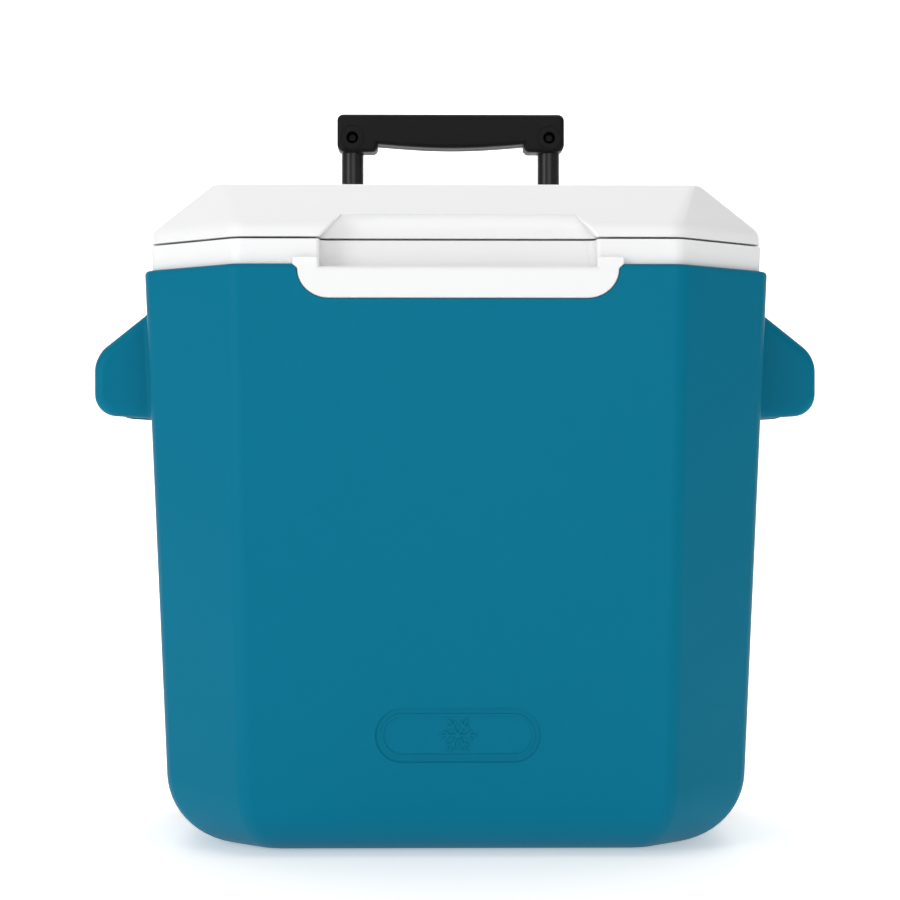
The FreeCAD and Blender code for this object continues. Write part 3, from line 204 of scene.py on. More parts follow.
def moulded(name, colour, roughness, shift=0.04, grain_scale=1500.0, grain_depth=0.1, wear=0.03,
            gloss=0.2):
    """A moulded plastic in one colour, with the shared grain and handled edges."""
    paint = bpy.data.materials.new(name)
    paint.use_nodes = True
    tree = paint.node_tree
    shader = tree.nodes["Principled BSDF"]
    place = tree.nodes.new("ShaderNodeTexCoord")
    surface = tree.nodes.new("ShaderNodeGroup")
    surface.node_tree = moulding
    surface.inputs["Colour"].default_value = (*colour, 1)
    surface.inputs["Roughness"].default_value = roughness
    surface.inputs["Shift"].default_value = shift
    surface.inputs["Grain Scale"].default_value = grain_scale
    surface.inputs["Grain Depth"].default_value = grain_depth
    surface.inputs["Edge Wear"].default_value = wear
    tree.links.new(place.outputs["Object"], surface.inputs["Vector"])
    tree.links.new(surface.outputs["Colour"], shader.inputs["Base Color"])
    tree.links.new(surface.outputs["Roughness"], shader.inputs["Roughness"])
    tree.links.new(surface.outputs["Normal"], shader.inputs["Normal"])
    shader.inputs["IOR"].default_value = 1.49
    shader.inputs["Specular IOR Level"].default_value = gloss
    return paint


def solid(mesh, operation, *tools):
    """The bmesh with every tool taken out of it (DIFFERENCE) or added to it (UNION)."""
    made = []
    for part in (mesh, *tools):
        data = bpy.data.meshes.new("block")
        part.to_mesh(data)
        part.free()
        made.append(bpy.data.objects.new("block", data))
        bpy.context.collection.objects.link(made[-1])
    for tool in made[1:]:
        step = made[0].modifiers.new("step", "BOOLEAN")
        step.operation = operation
        step.solver = "EXACT"
        step.object = tool
    bpy.context.view_layer.update()
    result = bmesh.new()
    result.from_object(made[0], bpy.context.evaluated_depsgraph_get())
    for block in made:
        data = block.data
        bpy.data.objects.remove(block)
        bpy.data.meshes.remove(data)
    bmesh.ops.remove_doubles(result, verts=list(result.verts), dist=0.00001)
    return result


def moved_ends(made):
    """The corners among the new pieces that an extrusion gives."""
    return [item for item in made if isinstance(item, bmesh.types.BMVert)]


def edges_where(mesh, test):
    """The edges whose two ends both pass the test."""
    return [edge for edge in mesh.edges if all(test(end.co) for end in edge.verts)]


def soften(mesh, edges, offset, segments):
    """Round some edges, which start that far from the corner."""
    bmesh.ops.bevel(mesh, geom=list(edges), offset=offset, segments=segments, profile=0.5,
                    affect="EDGES", material=-1, clamp_overlap=False)


def piece_of(mesh, name, paint, body, slot, *replaced, weighted=True):
    """Turn a bmesh into a finished piece that rides on a body and stands for CAD nodes."""
    bmesh.ops.recalc_face_normals(mesh, faces=list(mesh.faces))
    for face in mesh.faces:
        face.smooth = True
    for edge in mesh.edges:
        edge.smooth = len(edge.link_faces) == 2 and edge.calc_face_angle() < math.radians(35)
    data = bpy.data.meshes.new(name)
    mesh.to_mesh(data)
    mesh.free()
    piece = bpy.data.objects.new(name, data)
    bpy.context.collection.objects.link(piece)
    data.materials.append(paint)
    if weighted:
        even = piece.modifiers.new("even_normals", "WEIGHTED_NORMAL")
        even.weight = 80
        even.keep_sharp = True
    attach(piece, body)
    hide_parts(*replaced)
    return piece


lid_low, lid_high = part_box("lid_cover")
rim_inset = 0.0046
half_width = lid_high.x + rim_inset
half_depth = lid_high.y + rim_inset
shell_top = shell_high.z
wall_lean = 0.0423
corner_cut = 0.0586
corner_share = 2 - math.sqrt(2)


def corners(inset, height):
    """The tub's eight corners at a height, a set distance inside its walls."""
    inward = inset + (shell_top - height) * wall_lean
    x = half_width - inward
    y = half_depth - inward
    cut = corner_cut - corner_share * inward
    right = ((x - cut, -y), (x, cut - y), (x, y - cut), (x - cut, y))
    return [Vector((a, b, height)) for a, b in right] + [Vector((-a, b, height)) for a, b in reversed(right)]


def stacked(*levels):
    """A closed block through rings of corners, one level after another."""
    mesh = bmesh.new()
    cap = mesh.faces.new([mesh.verts.new(corner) for corner in levels[0]])
    for here, there in zip(levels, levels[1:]):
        made = bmesh.ops.extrude_face_region(mesh, geom=[cap])["geom"]
        if here is not levels[0]:
            bmesh.ops.delete(mesh, geom=[cap], context="FACES_ONLY")
        cap = next(item for item in made if isinstance(item, bmesh.types.BMFace))
        for corner in cap.verts:
            nearest = min(range(len(here)), key=lambda index: (here[index] - corner.co).length)
            corner.co = there[nearest]
    bmesh.ops.recalc_face_normals(mesh, faces=list(mesh.faces))
    return mesh


def tub_block(inset, top, floor):
    """A block that follows the tub's leaning walls, a set distance inside them."""
    return stacked(corners(inset, top), corners(inset, floor))


def prism(outline, sweep, rounds=None, segments=8):
    """A block of one outline, some of whose corners are rounded, swept along a vector."""
    mesh = bmesh.new()
    ends = [mesh.verts.new(point) for point in outline]
    mesh.faces.new(ends)
    for index, offset in (rounds or {}).items():
        bmesh.ops.bevel(mesh, geom=[ends[index]], offset=offset, segments=segments, profile=0.5,
                        affect="VERTICES", material=-1)
    made = bmesh.ops.extrude_face_region(mesh, geom=list(mesh.faces))["geom"]
    bmesh.ops.translate(mesh, verts=moved_ends(made), vec=sweep)
    bmesh.ops.recalc_face_normals(mesh, faces=list(mesh.faces))
    return mesh


def block(low, high):
    """A plain block between two corners."""
    mesh = bmesh.new()
    bmesh.ops.create_cube(mesh, size=1)
    low, high = Vector(low), Vector(high)
    bmesh.ops.scale(mesh, vec=high - low, verts=list(mesh.verts))
    bmesh.ops.translate(mesh, vec=(low + high) / 2, verts=list(mesh.verts))
    return mesh


def mitred(edge):
    """True for an edge where two upright walls meet, all the way round the foot's rounding."""
    if len(edge.link_faces) != 2:
        return False
    across = [face.normal.xy for face in edge.link_faces]
    if min(normal.length for normal in across) < 0.05:
        return False
    return across[0].angle(across[1]) > math.radians(30)


foot_round = 0.045
corner_round = 0.0058
shell_wall = 0.003
shell_lip = 0.008
shoulder_round = 0.0026
shell = tub_block(0, shell_top, 0)
soften(shell, edges_where(shell, lambda point: point.z < 0.001), foot_round, 14)
soften(shell, [edge for edge in shell.edges if mitred(edge)], corner_round, 6)
soften(shell, edges_where(shell, lambda point: point.z > shell_top - 0.0001), shoulder_round, 4)

ear_front = -0.055
ear_rear = 0.060
ear_foot = 0.268
ear_top = 0.337
ear_reach = shell_high.x
ear_shoulder = 0.308
ear_lip = 0.2705
ear_shoulder_round = 0.009
ear_lip_round = 0.013
ear_end_round = 0.007
ear_root_round = 0.006
for side in (-1, 1):
    for place, normal in (((0, ear_front, 0), (0, 1, 0)), ((0, ear_rear, 0), (0, 1, 0)),
                          ((0, 0, ear_foot), (0, 0, 1)), ((0, 0, ear_top), (0, 0, 1))):
        wall = [face for face in shell.faces
                if side * face.normal.x > 0.99 and face.calc_center_median().z > 2 * foot_round]
        around = [edge for face in wall for edge in face.edges] + [end for face in wall for end in face.verts]
        around = list(dict.fromkeys(around))
        bmesh.ops.bisect_plane(shell, geom=wall + around, plane_co=place, plane_no=normal, dist=0.000001)
    root = next(face for face in shell.faces
                if side * face.normal.x > 0.99 and ear_front < face.calc_center_median().y < ear_rear
                and ear_foot < face.calc_center_median().z < ear_top)
    made = bmesh.ops.extrude_face_region(shell, geom=[root])["geom"]
    bmesh.ops.delete(shell, geom=[root], context="FACES_ONLY")
    for corner in made:
        if isinstance(corner, bmesh.types.BMVert):
            corner.co.x = side * ear_reach
            corner.co.z = ear_shoulder if corner.co.z > (ear_foot + ear_top) / 2 else ear_lip


def wall_at(height):
    """How far out the tub's side wall stands at a height."""
    return half_width - (shell_top - height) * wall_lean


def outer(point):
    """True for a point on the upright lip of a hand hold."""
    return abs(point.x) > ear_reach - 0.001


shoulders = edges_where(shell, lambda point: outer(point) and abs(point.z - ear_shoulder) < 0.0001)
soften(shell, shoulders, ear_shoulder_round, 6)
lips = edges_where(shell, lambda point: outer(point) and abs(point.z - ear_lip) < 0.0001)
soften(shell, lips, ear_lip_round, 8)


def on_end(edge):
    """True for an edge round the front or rear face of a hand hold."""
    ends = [end.co for end in edge.verts]
    flat = any(all(abs(point.y - level) < 0.00001 for point in ends) for level in (ear_front, ear_rear))
    return flat and max(abs(point.x) - wall_at(point.z) for point in ends) > 0.0005


def on_root(edge):
    """True for an edge where a hand hold grows out of the wall."""
    ends = [end.co for end in edge.verts]
    if any(abs(abs(point.x) - wall_at(point.z)) > 0.00002 for point in ends):
        return False
    return len(edge.link_faces) == 2 and not edge.is_convex and edge.calc_face_angle() > math.radians(15)


soften(shell, [edge for edge in shell.edges if on_end(edge)], ear_end_round, 5)
soften(shell, [edge for edge in shell.edges if on_root(edge)], ear_root_round, 5)

wheel_low, wheel_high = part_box("wheel_tyre_right")
axle_y = (wheel_low.y + wheel_high.y) / 2
axle_z = (wheel_low.z + wheel_high.z) / 2
wheel_radius = (wheel_high.z - wheel_low.z) / 2
well_gap = 0.008
well_room = 0.006
well_inner = wheel_low.x - well_room
beyond = 0.4


def arch_room(side, grow):
    """Room for a wheel at a rear corner, open to the side, the back and the floor."""
    reach = wheel_radius + well_gap + grow
    inner = side * (well_inner - grow)
    outline = ((inner, axle_y - reach, -0.05), (inner, axle_y - reach, axle_z + reach),
               (inner, beyond, axle_z + reach), (inner, beyond, -0.05))
    return prism(outline, (side * beyond, 0, 0), {1: reach}, 24)


emblem_half = 0.050
emblem_height = 0.033
emblem_z = 0.075
emblem_sink = 0.0008
tongue_half = 0.097
tongue_drop = 0.0206
tongue_round = 0.019
tongue_flare = 0.0028
tongue_corner = 0.0012
seat_gap = 0.0003
finger_end = 0.012
finger_lip = 0.0075
finger_slant = 0.005
finger_straight = 0.025
finger_room = 0.034


def front_outline(half, low, high, y):
    """The corners of a rectangle that stands across the front."""
    return ((-half, y, low), (half, y, low), (half, y, high), (-half, y, high))


def tongue_outline(grow, y, top):
    """The tongue's outline: lower corners rounded, upper ends flared out to meet the shoulder."""
    half = tongue_half + grow
    flare = half + tongue_flare
    low = shell_top - tongue_drop - grow
    return ((-half, y, low), (half, y, low), (half, y, shell_top - tongue_flare), (flare, y, shell_top),
            (flare, y, top), (-flare, y, top), (-flare, y, shell_top), (-half, y, shell_top - tongue_flare))


hollow = tub_block(shell_wall, shell_top - shell_wall, shell_wall)
soften(hollow, edges_where(hollow, lambda point: point.z < shell_wall + 0.001), foot_round - shell_wall, 8)
hollow = solid(hollow, "DIFFERENCE", arch_room(-1, shell_wall), arch_room(1, shell_wall))
mouth = tub_block(shell_lip, shell_top + 0.01, shell_top - 0.01)
notch = prism(tongue_outline(seat_gap, -0.2, shell_top + 0.02), (0, 0.1, 0),
              {0: tongue_round + seat_gap, 1: tongue_round + seat_gap, 2: tongue_corner,
               7: tongue_corner}, 10)
panel = prism(front_outline(emblem_half, emblem_z - emblem_height / 2, emblem_z + emblem_height / 2, 0),
              (0, 0.02, 0), dict.fromkeys(range(4), emblem_height / 2 - 0.0005), 12)


def against_front(mesh, sink):
    """Lean a flat piece against the tub's front, so that y = 0 lies that deep in the face."""
    for corner in mesh.verts:
        corner.co.y += -half_depth + (shell_top - corner.co.z) * wall_lean + sink


bmesh.ops.translate(panel, vec=(0, -0.02, 0), verts=list(panel.verts))
against_front(panel, emblem_sink)
spaces = []
for side in (-1, 1):
    wall = side * (wall_at(ear_foot) + shell_wall)
    lip = side * (ear_reach - finger_lip)
    chamfer = side * (ear_reach - finger_lip - finger_slant)
    start_y = ear_front + finger_end
    outline = ((wall, start_y, ear_foot - 0.02), (lip, start_y, ear_foot - 0.02),
               (lip, start_y, ear_foot + finger_straight), (chamfer, start_y, ear_foot + finger_room),
               (wall, start_y, ear_foot + finger_room))
    space = prism(outline, (0, ear_rear - ear_front - 2 * finger_end, 0))
    uprights = [edge for edge in space.edges if abs(edge.verts[0].co.z - edge.verts[1].co.z) > 0.02]
    soften(space, uprights, finger_slant, 4)
    spaces.append(space)
shell = solid(shell, "DIFFERENCE", hollow, mouth, arch_room(-1, 0), arch_room(1, 0), notch, panel, *spaces)

# The snow crystal's arm is given along and across, from its foot out to its tip.
crystal_arm = ((0.0052, 0.00065), (0.0078, 0.0032), (0.0087, 0.0023), (0.0071, 0.00065), (0.0112, 0.00065))
crystal_waist = 0.0013
crystal_rise = 0.0006
border_margin = 0.0035
border_width = 0.0014
border_rise = 0.0005
slab_flat = 0.0003
crystal_points = []
for number in range(6):
    turn = Matrix.Rotation(math.radians(60 * number), 3, "Y")
    near_half = [Vector((along, 0, across)) for along, across in crystal_arm]
    far_half = [Vector((along, 0, -across)) for along, across in reversed(crystal_arm)]
    crystal_points += [turn @ point for point in near_half + far_half]
    crystal_points.append(turn @ Matrix.Rotation(math.radians(30), 3, "Y") @ Vector((crystal_waist, 0, 0)))
crystal = prism([point + Vector((0, 0, emblem_z)) for point in crystal_points], (0, 0.002, 0))
against_front(crystal, emblem_sink - crystal_rise)


def rounded_slab(half, high, start, depth):
    """A flat slab of the emblem's outline, with round ends."""
    outline = front_outline(half, emblem_z - high, emblem_z + high, start)
    return prism(outline, (0, depth, 0), dict.fromkeys(range(4), high - slab_flat), 10)


border_half = emblem_half - border_margin
border_high = emblem_height / 2 - border_margin
border = solid(rounded_slab(border_half, border_high, 0, 0.002), "DIFFERENCE",
               rounded_slab(border_half - border_width, border_high - border_width, -0.01, 0.03))
against_front(border, emblem_sink - border_rise)
shell = solid(shell, "UNION", border, crystal)

teal_plastic = moulded("teal_plastic", (0.0006, 0.154, 0.25), 0.42, gloss=0.05)
piece_of(shell, "shell", teal_plastic, "body", "shell_plastic", "outer_shell")


# ---------------------------------------------------------------- liner
# The white tub inside is one polyethylene moulding: its rim stands on the shell, a finger
# pocket opens in the rim's front, and a tongue hangs over the shell's front under it.

seam_gap = 0.0014
rim_top = lid_low.z - seam_gap
wall_thickness = 0.027
floor_thickness = 0.033
liner_wall = 0.003
room_round = 0.016
room_upright = 0.0055
step_round = 0.006
rim_upright = 0.0042
tongue_deep = 0.0045
tongue_edge = 0.0011
pocket_round = 0.005
pocket_lip = 0.0024
pocket_half = 0.0835
pocket_depth = 0.014
pocket_floor = shell_top - 0.0015
step_edge = 0.013
sleeve_cover = 0.01705
white_plastic = moulded("white_plastic", (0.84, 0.84, 0.84), 0.38, shift=0.015)


def wheel_steps(grow):
    """Blocks that make the liner step in over the wheel arches and up over the axle."""
    reach = wheel_radius + well_gap + step_edge + grow
    inner = well_inner - step_edge - grow
    cover = sleeve_cover + grow
    blocks = [block((-beyond, axle_y - cover, -beyond), (beyond, beyond, axle_z + cover))]
    for side in (-1, 1):
        low_x, high_x = sorted((side * inner, side * beyond))
        blocks.append(block((low_x, axle_y - reach, -beyond), (high_x, beyond, axle_z + reach)))
    return blocks


def bent(mesh, low_angle=20):
    """The edges of a block where its faces meet at an angle."""
    return [edge for edge in mesh.edges
            if len(edge.link_faces) == 2 and edge.calc_face_angle() > math.radians(low_angle)]


outside = tub_block(wall_thickness - liner_wall, rim_top, floor_thickness - liner_wall)
outside = solid(outside, "DIFFERENCE", *wheel_steps(0))
room = tub_block(wall_thickness, rim_top + 0.02, floor_thickness)
soften(room, edges_where(room, lambda point: point.z < floor_thickness + 0.001), room_round, 8)
soften(room, [edge for edge in room.edges if mitred(edge)], room_upright, 5)
room_steps = wheel_steps(liner_wall)
for step in room_steps:
    soften(step, step.edges, step_round, 5)
room = solid(room, "DIFFERENCE", *room_steps)
rim = tub_block(rim_inset, rim_top, shell_top + seat_gap)
soften(rim, [edge for edge in rim.edges if mitred(edge)], rim_upright, 6)
tongue = prism(tongue_outline(0, 0, shell_top + 0.004), (0, tongue_deep, 0),
               {0: tongue_round, 1: tongue_round, 2: tongue_corner, 7: tongue_corner}, 10)
soften(tongue, [edge for edge in bent(tongue) if all(end.co.y < 0.0001 for end in edge.verts)
                and min(end.co.z for end in edge.verts) < shell_top + 0.003], tongue_edge, 3)
against_front(tongue, seat_gap)
pocket_back = -half_depth + rim_inset + pocket_depth
pocket_base = block((-pocket_half - liner_wall, -half_depth + 0.002, pocket_floor - liner_wall),
                    (pocket_half + liner_wall, pocket_back + liner_wall, shell_top + 0.002))
liner = solid(outside, "UNION", rim, tongue, pocket_base)
pocket = block((-pocket_half, -0.3, pocket_floor), (pocket_half, pocket_back, rim_top + 0.02))
soften(pocket, [edge for edge in bent(pocket) if all(end.co.y > pocket_back - 0.0001 for end in edge.verts)
                and min(end.co.z for end in edge.verts) < rim_top], pocket_round, 5)
liner = solid(liner, "DIFFERENCE", room, pocket)


def on_pocket(point):
    """True for a point round the front opening of the finger pocket."""
    edge_on = abs(abs(point.x) - pocket_half) < 0.0001 or abs(point.z - pocket_floor) < 0.0001
    return edge_on and point.y < -half_depth + rim_inset + 0.002


pocket_rim = [edge for edge in bent(liner, 40) if all(on_pocket(end.co) for end in edge.verts)]
soften(liner, pocket_rim, pocket_lip, 4)
piece_of(liner, "liner", white_plastic, "body", "white_plastic", "inner_liner")


# ---------------------------------------------------------------- lid
# The lid is one hollow white moulding: an upright edge, slopes up to a flat top, and a coved
# finger recess in the front.  Two gaps in its back edge leave the hinges free.

lid_edge = 0.008
lid_slope_run = 0.039
lid_back_run = 0.008
lid_top_cut = 0.005
lid_wall = 0.003
recess_rise = 0.0143
recess_top_half = 0.070
recess_round = 0.009
lid_upright = 0.0065
lid_top_upright = 0.0026
brow_round = 0.0036
top_round = 0.0018
recess_lip = 0.0022
lid_foot = lid_low.z
lid_top = lid_high.z
brow = lid_foot + lid_edge
pin_low, pin_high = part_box("hinge_pin_right")
hinge_y = (pin_low.y + pin_high.y) / 2
knuckle = 0.0055
notch_gap = 0.003
hinge_half = 0.018
notch_front = hinge_y - knuckle - notch_gap
notch_half = hinge_half + notch_gap
hinge_x = 0.125


def lid_corners(inset, height, share):
    """The lid's eight corners; share goes from 0 at the upright edge to 1 at the top."""
    x = half_width - rim_inset - inset
    y = half_depth - rim_inset - inset
    cut = corner_cut - corner_share * (rim_inset + inset)
    front = y - lid_slope_run * share
    back = y - lid_back_run * share
    x -= lid_slope_run * share
    cut += (lid_top_cut - cut) * share
    right = ((x - cut, -front), (x, cut - front), (x, back - cut), (x - cut, back))
    return [Vector((a, b, height)) for a, b in right] + [Vector((-a, b, height)) for a, b in reversed(right)]


def lid_block(inset, foot, top, low_round=0, top_round=0):
    """The lid's outer shape, or a smaller one inside it, through three rings of corners."""
    share = (top - brow) / (lid_top - brow)
    levels = (lid_corners(inset, top, share), lid_corners(inset, brow, 0), lid_corners(inset, foot, 0))
    if not low_round:
        return stacked(*levels)
    mesh = bmesh.new()
    rings = []
    for level, offset in zip(levels, (top_round, low_round, low_round)):
        older = set(mesh.faces)
        ends = [mesh.verts.new(corner) for corner in level]
        mesh.faces.new(ends)
        bmesh.ops.bevel(mesh, geom=ends, offset=offset, segments=6, profile=0.5, affect="VERTICES",
                        material=-1)
        rings.append(next(face for face in mesh.faces if face not in older))
    for upper, lower in zip(rings, rings[1:]):
        bmesh.ops.bridge_loops(mesh, edges=list(upper.edges) + list(lower.edges))
    bmesh.ops.delete(mesh, geom=[rings[1]], context="FACES_ONLY")
    bmesh.ops.recalc_face_normals(mesh, faces=list(mesh.faces))
    return mesh


def finger_recess(grow, cove):
    """The space under the front of the lid, narrower at its coved top."""
    half = pocket_half + grow
    high = lid_foot + recess_rise + grow
    narrow = recess_top_half + grow
    back = -half_depth + rim_inset + pocket_depth + grow
    mesh = prism(((-half, -0.3, lid_foot - 0.02), (half, -0.3, lid_foot - 0.02), (half, -0.3, lid_foot),
                  (narrow, -0.3, high), (-narrow, -0.3, high), (-half, -0.3, lid_foot)), (0, back + 0.3, 0))
    ceiling = [edge for edge in mesh.edges if all(end.co.z > high - 0.0001 and end.co.y > back - 0.0001
                                                  for end in edge.verts)]
    soften(mesh, ceiling, cove, 8)
    return mesh


def hinge_gaps(grow):
    """The two gaps in the lid's back edge, one round each hinge."""
    gaps = []
    for side in (-1, 1):
        middle = side * hinge_x
        half = notch_half + grow
        gaps.append(block((middle - half, notch_front - grow, lid_foot - 0.03),
                          (middle + half, 0.3, lid_top + 0.03)))
    return gaps


lid = solid(lid_block(0, lid_foot, lid_top, lid_upright, lid_top_upright), "DIFFERENCE",
            finger_recess(0, recess_round), *hinge_gaps(0))
front_face = -half_depth + rim_inset
brow_edges = [edge for edge in bent(lid) if all(abs(end.co.z - brow) < 0.0006 for end in edge.verts)]
soften(lid, brow_edges, brow_round, 5)
top_edges = [edge for edge in bent(lid) if all(end.co.z > lid_top - 0.0001 for end in edge.verts)]
soften(lid, top_edges, top_round, 4)


def on_recess(edge):
    """True for the outline of the finger recess on the lid's front."""
    ends = [end.co for end in edge.verts]
    if any(abs(point.x) > pocket_half + 0.0005 or point.z > lid_foot + recess_rise + 0.0005
           or point.y > front_face + 0.02 for point in ends):
        return False
    outward = [face.normal.y < -0.3 for face in edge.link_faces]
    return len(outward) == 2 and outward[0] != outward[1] and edge.is_convex


soften(lid, [edge for edge in bent(lid) if on_recess(edge)], recess_lip, 4)
lid_room = solid(lid_block(lid_wall, lid_foot - 0.005, lid_top - lid_wall), "DIFFERENCE",
                 finger_recess(lid_wall, recess_round), *hinge_gaps(lid_wall))
lid = solid(lid, "DIFFERENCE", lid_room)
piece_of(lid, "lid", white_plastic, "lid", "white_plastic", "lid_cover")


# ---------------------------------------------------------------- pull handle grip
# The grip is two black nylon halves that meet on the tubes' centre plane.  A self-tapping
# screw through a sunk hole in each thick end clamps them on the inner tubes.

grip_low, grip_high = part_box("grip_front")
tube_low, tube_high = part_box("inner_tube_right")
tube_x = (tube_low.x + tube_high.x) / 2
tube_y = (tube_low.y + tube_high.y) / 2
grip_half = grip_high.x
grip_front = grip_low.y
grip_foot = grip_low.z
grip_top = grip_high.z
grip_boss = 0.0295
grip_step = 0.0057
grip_belly = 0.0029
grip_seam = 0.0005
grip_edge = 0.0036
grip_top_corner = 0.0045
grip_low_corner = 0.0055
grip_boss_corner = 0.0041
grip_seam_round = 0.0004
screw_rise = 0.0104
screw_sink = 0.005
screw_hole = 0.0042
screw_hole_round = 0.0005
free_gap = 0.00005
slide_gap = 0.00008
inner_radius = (tube_high.x - tube_low.x) / 2
ring_outer = 0.0088
ring_inner = 0.0079
ring_deep = 0.0006
black_plastic = moulded("black_plastic", (0.0055, 0.0055, 0.006), 0.5, shift=0.1, grain_depth=0.2, wear=0.25,
                        gloss=0.14)


def drum(radius, length, place, axis, steps=48):
    """A plain cylinder that runs from a place along an axis."""
    mesh = bmesh.new()
    bmesh.ops.create_circle(mesh, cap_ends=True, radius=radius, segments=steps)
    turn = Vector((0, 0, 1)).rotation_difference(Vector(axis)).to_matrix()
    bmesh.ops.rotate(mesh, verts=list(mesh.verts), cent=(0, 0, 0), matrix=turn)
    bmesh.ops.translate(mesh, verts=list(mesh.verts), vec=place)
    made = bmesh.ops.extrude_face_region(mesh, geom=list(mesh.faces))["geom"]
    bmesh.ops.translate(mesh, verts=moved_ends(made), vec=Vector(axis) * length)
    bmesh.ops.recalc_face_normals(mesh, faces=list(mesh.faces))
    return mesh


def turned(profile, place, axis, steps=64):
    """A ring-shaped solid: a closed outline of (along the axis, radius) corners spun round it."""
    mesh = bmesh.new()
    axis = Vector(axis)
    side = axis.orthogonal().normalized()
    ends = [mesh.verts.new(Vector(place) + axis * along + side * radius) for along, radius in profile]
    loop = [mesh.edges.new((ends[index - 1], ends[index])) for index in range(len(ends))]
    bmesh.ops.spin(mesh, geom=ends + loop, cent=place, axis=axis, angle=math.radians(360), steps=steps,
                   use_merge=True, use_duplicate=False)
    bmesh.ops.remove_doubles(mesh, verts=list(mesh.verts), dist=0.000005)
    bmesh.ops.recalc_face_normals(mesh, faces=list(mesh.faces))
    return mesh


def joined(*parts):
    """Several closed shapes as one bmesh."""
    whole = bmesh.new()
    for part in parts:
        data = bpy.data.meshes.new("part")
        part.to_mesh(data)
        part.free()
        whole.from_mesh(data)
        bpy.data.meshes.remove(data)
    return whole


def grip_outline(y):
    """The grip seen from the front: a bar with a thick end over each tube and a slight belly."""
    step_x = grip_half - grip_boss
    right = [(grip_half, grip_top), (grip_half, grip_foot), (step_x, grip_foot),
             (step_x, grip_foot + grip_step)]
    arc = []
    for index in range(1, 16):
        share = index / 16
        arc.append((step_x * (1 - 2 * share), grip_foot + grip_step - grip_belly * math.sin(math.pi * share)))
    left = [(-x, z) for x, z in reversed(right)]
    return [(x, y, z) for x, z in right + arc + left]


last = len(grip_outline(0)) - 1
grip_rounds = {0: grip_top_corner, last: grip_top_corner, 1: grip_low_corner, last - 1: grip_low_corner,
               2: grip_boss_corner, last - 2: grip_boss_corner}
for name, start, stop in (("grip_front_half", grip_front, tube_y - grip_seam / 2),
                          ("grip_rear_half", tube_y + grip_seam / 2, 2 * tube_y - grip_front)):
    front = name == "grip_front_half"
    face_y = start if front else stop
    half = prism(grip_outline(start), (0, stop - start, 0), grip_rounds, 6)
    rim_edges = edges_where(half, lambda point: abs(point.y - face_y) < 0.00001)
    soften(half, rim_edges, grip_edge, 6)
    seam_y = stop if front else start
    seam_edges = edges_where(half, lambda point: abs(point.y - seam_y) < 0.00001)
    soften(half, seam_edges, grip_seam_round, 2)
    tools = [drum(inner_radius + free_gap, 0.05, (side * tube_x, tube_y, grip_foot - 0.03), (0, 0, 1))
             for side in (-1, 1)]
    if front:
        for side in (-1, 1):
            place = (side * tube_x, grip_front, grip_foot + screw_rise)
            before = (place[0], grip_front - 0.01, place[2])
            tools.append(drum(screw_hole, 0.01 + screw_sink, before, (0, 1, 0)))
            tools.append(turned(((-0.01, ring_inner), (-0.01, ring_outer), (ring_deep, ring_outer),
                                 (ring_deep, ring_inner)), place, (0, 1, 0)))
    half = solid(half, "DIFFERENCE", *tools)
    if front:
        mouths = []
        for side in (-1, 1):
            centre = Vector((side * tube_x, grip_front, grip_foot + screw_rise))
            mouths += edges_where(half, lambda point: abs((point - centre).length - screw_hole) < 0.00005)
        soften(half, mouths, screw_hole_round, 3)
    replaced = "grip_front" if front else "grip_rear"
    piece_of(half, name, black_plastic, "handle_inner", "black_plastic", replaced)


# ---------------------------------------------------------------- screws
# Zinc-plated pan-head screws with a cross recess hold the grip, the brackets and the hinges.
# Each head is domed with a rounded rim, and its shank goes into the plastic behind it.

zinc_plate = moulded("zinc_plate", (0.56, 0.57, 0.6), 0.34, shift=0.12, grain_depth=0.05, wear=0.1)
zinc_plate.node_tree.nodes["Principled BSDF"].inputs["Metallic"].default_value = 1.0
# The grip's screws sit deep in sunk holes, so their zinc is painted near black: painted shade of the holes
# over the plated heads.
zinc_in_painted_shade = moulded("zinc_painted_shade", (0.01, 0.01, 0.012), 0.4, shift=0.12, grain_depth=0.05, wear=0.3)
zinc_in_painted_shade.node_tree.nodes["Principled BSDF"].inputs["Metallic"].default_value = 1.0
cross_width = 0.0009
cross_reach = 0.0044
axis_radius = 0.00001


def cross_screw(x, y, z, towards, head, height, shank, radius=0.002):
    """A screw whose head stands on y, seen from the front (-1) or the back (1)."""
    profile = ((0, axis_radius), (0, head), (height * 0.45, head), (height * 0.8, head * 0.86),
               (height, head * 0.6), (height, axis_radius))
    body = turned(profile, (x, y, z), (0, towards, 0), 32)
    length = drum(radius, shank, (x, y, z), (0, -towards, 0), 20)
    body = solid(body, "UNION", length)
    top = y + towards * (height + 0.001)
    deep = y + towards * height * 0.5
    low_y, high_y = sorted((top, deep))
    reach = min(cross_reach, head * 1.1) / 2
    slots = [block((x - reach, low_y, z - cross_width / 2), (x + reach, high_y, z + cross_width / 2)),
             block((x - cross_width / 2, low_y, z - reach), (x + cross_width / 2, high_y, z + reach))]
    return solid(body, "DIFFERENCE", *slots)


def screw_places(node_name):
    """Each screw in a group: its x, its two ends along y, and its z."""
    shape = bmesh.new()
    shape.from_mesh(frame["nodes"][node_name].data)
    bmesh.ops.remove_doubles(shape, verts=list(shape.verts), dist=0.00001)
    left = set(shape.verts)
    places = []
    while left:
        island = {left.pop()}
        waiting = list(island)
        while waiting:
            for edge in waiting.pop().link_edges:
                for end in edge.verts:
                    if end in left:
                        left.remove(end)
                        island.add(end)
                        waiting.append(end)
        xs = [end.co.x for end in island]
        ys = [end.co.y for end in island]
        zs = [end.co.z for end in island]
        places.append(((min(xs) + max(xs)) / 2, min(ys), max(ys), (min(zs) + max(zs)) / 2))
    shape.free()
    return places


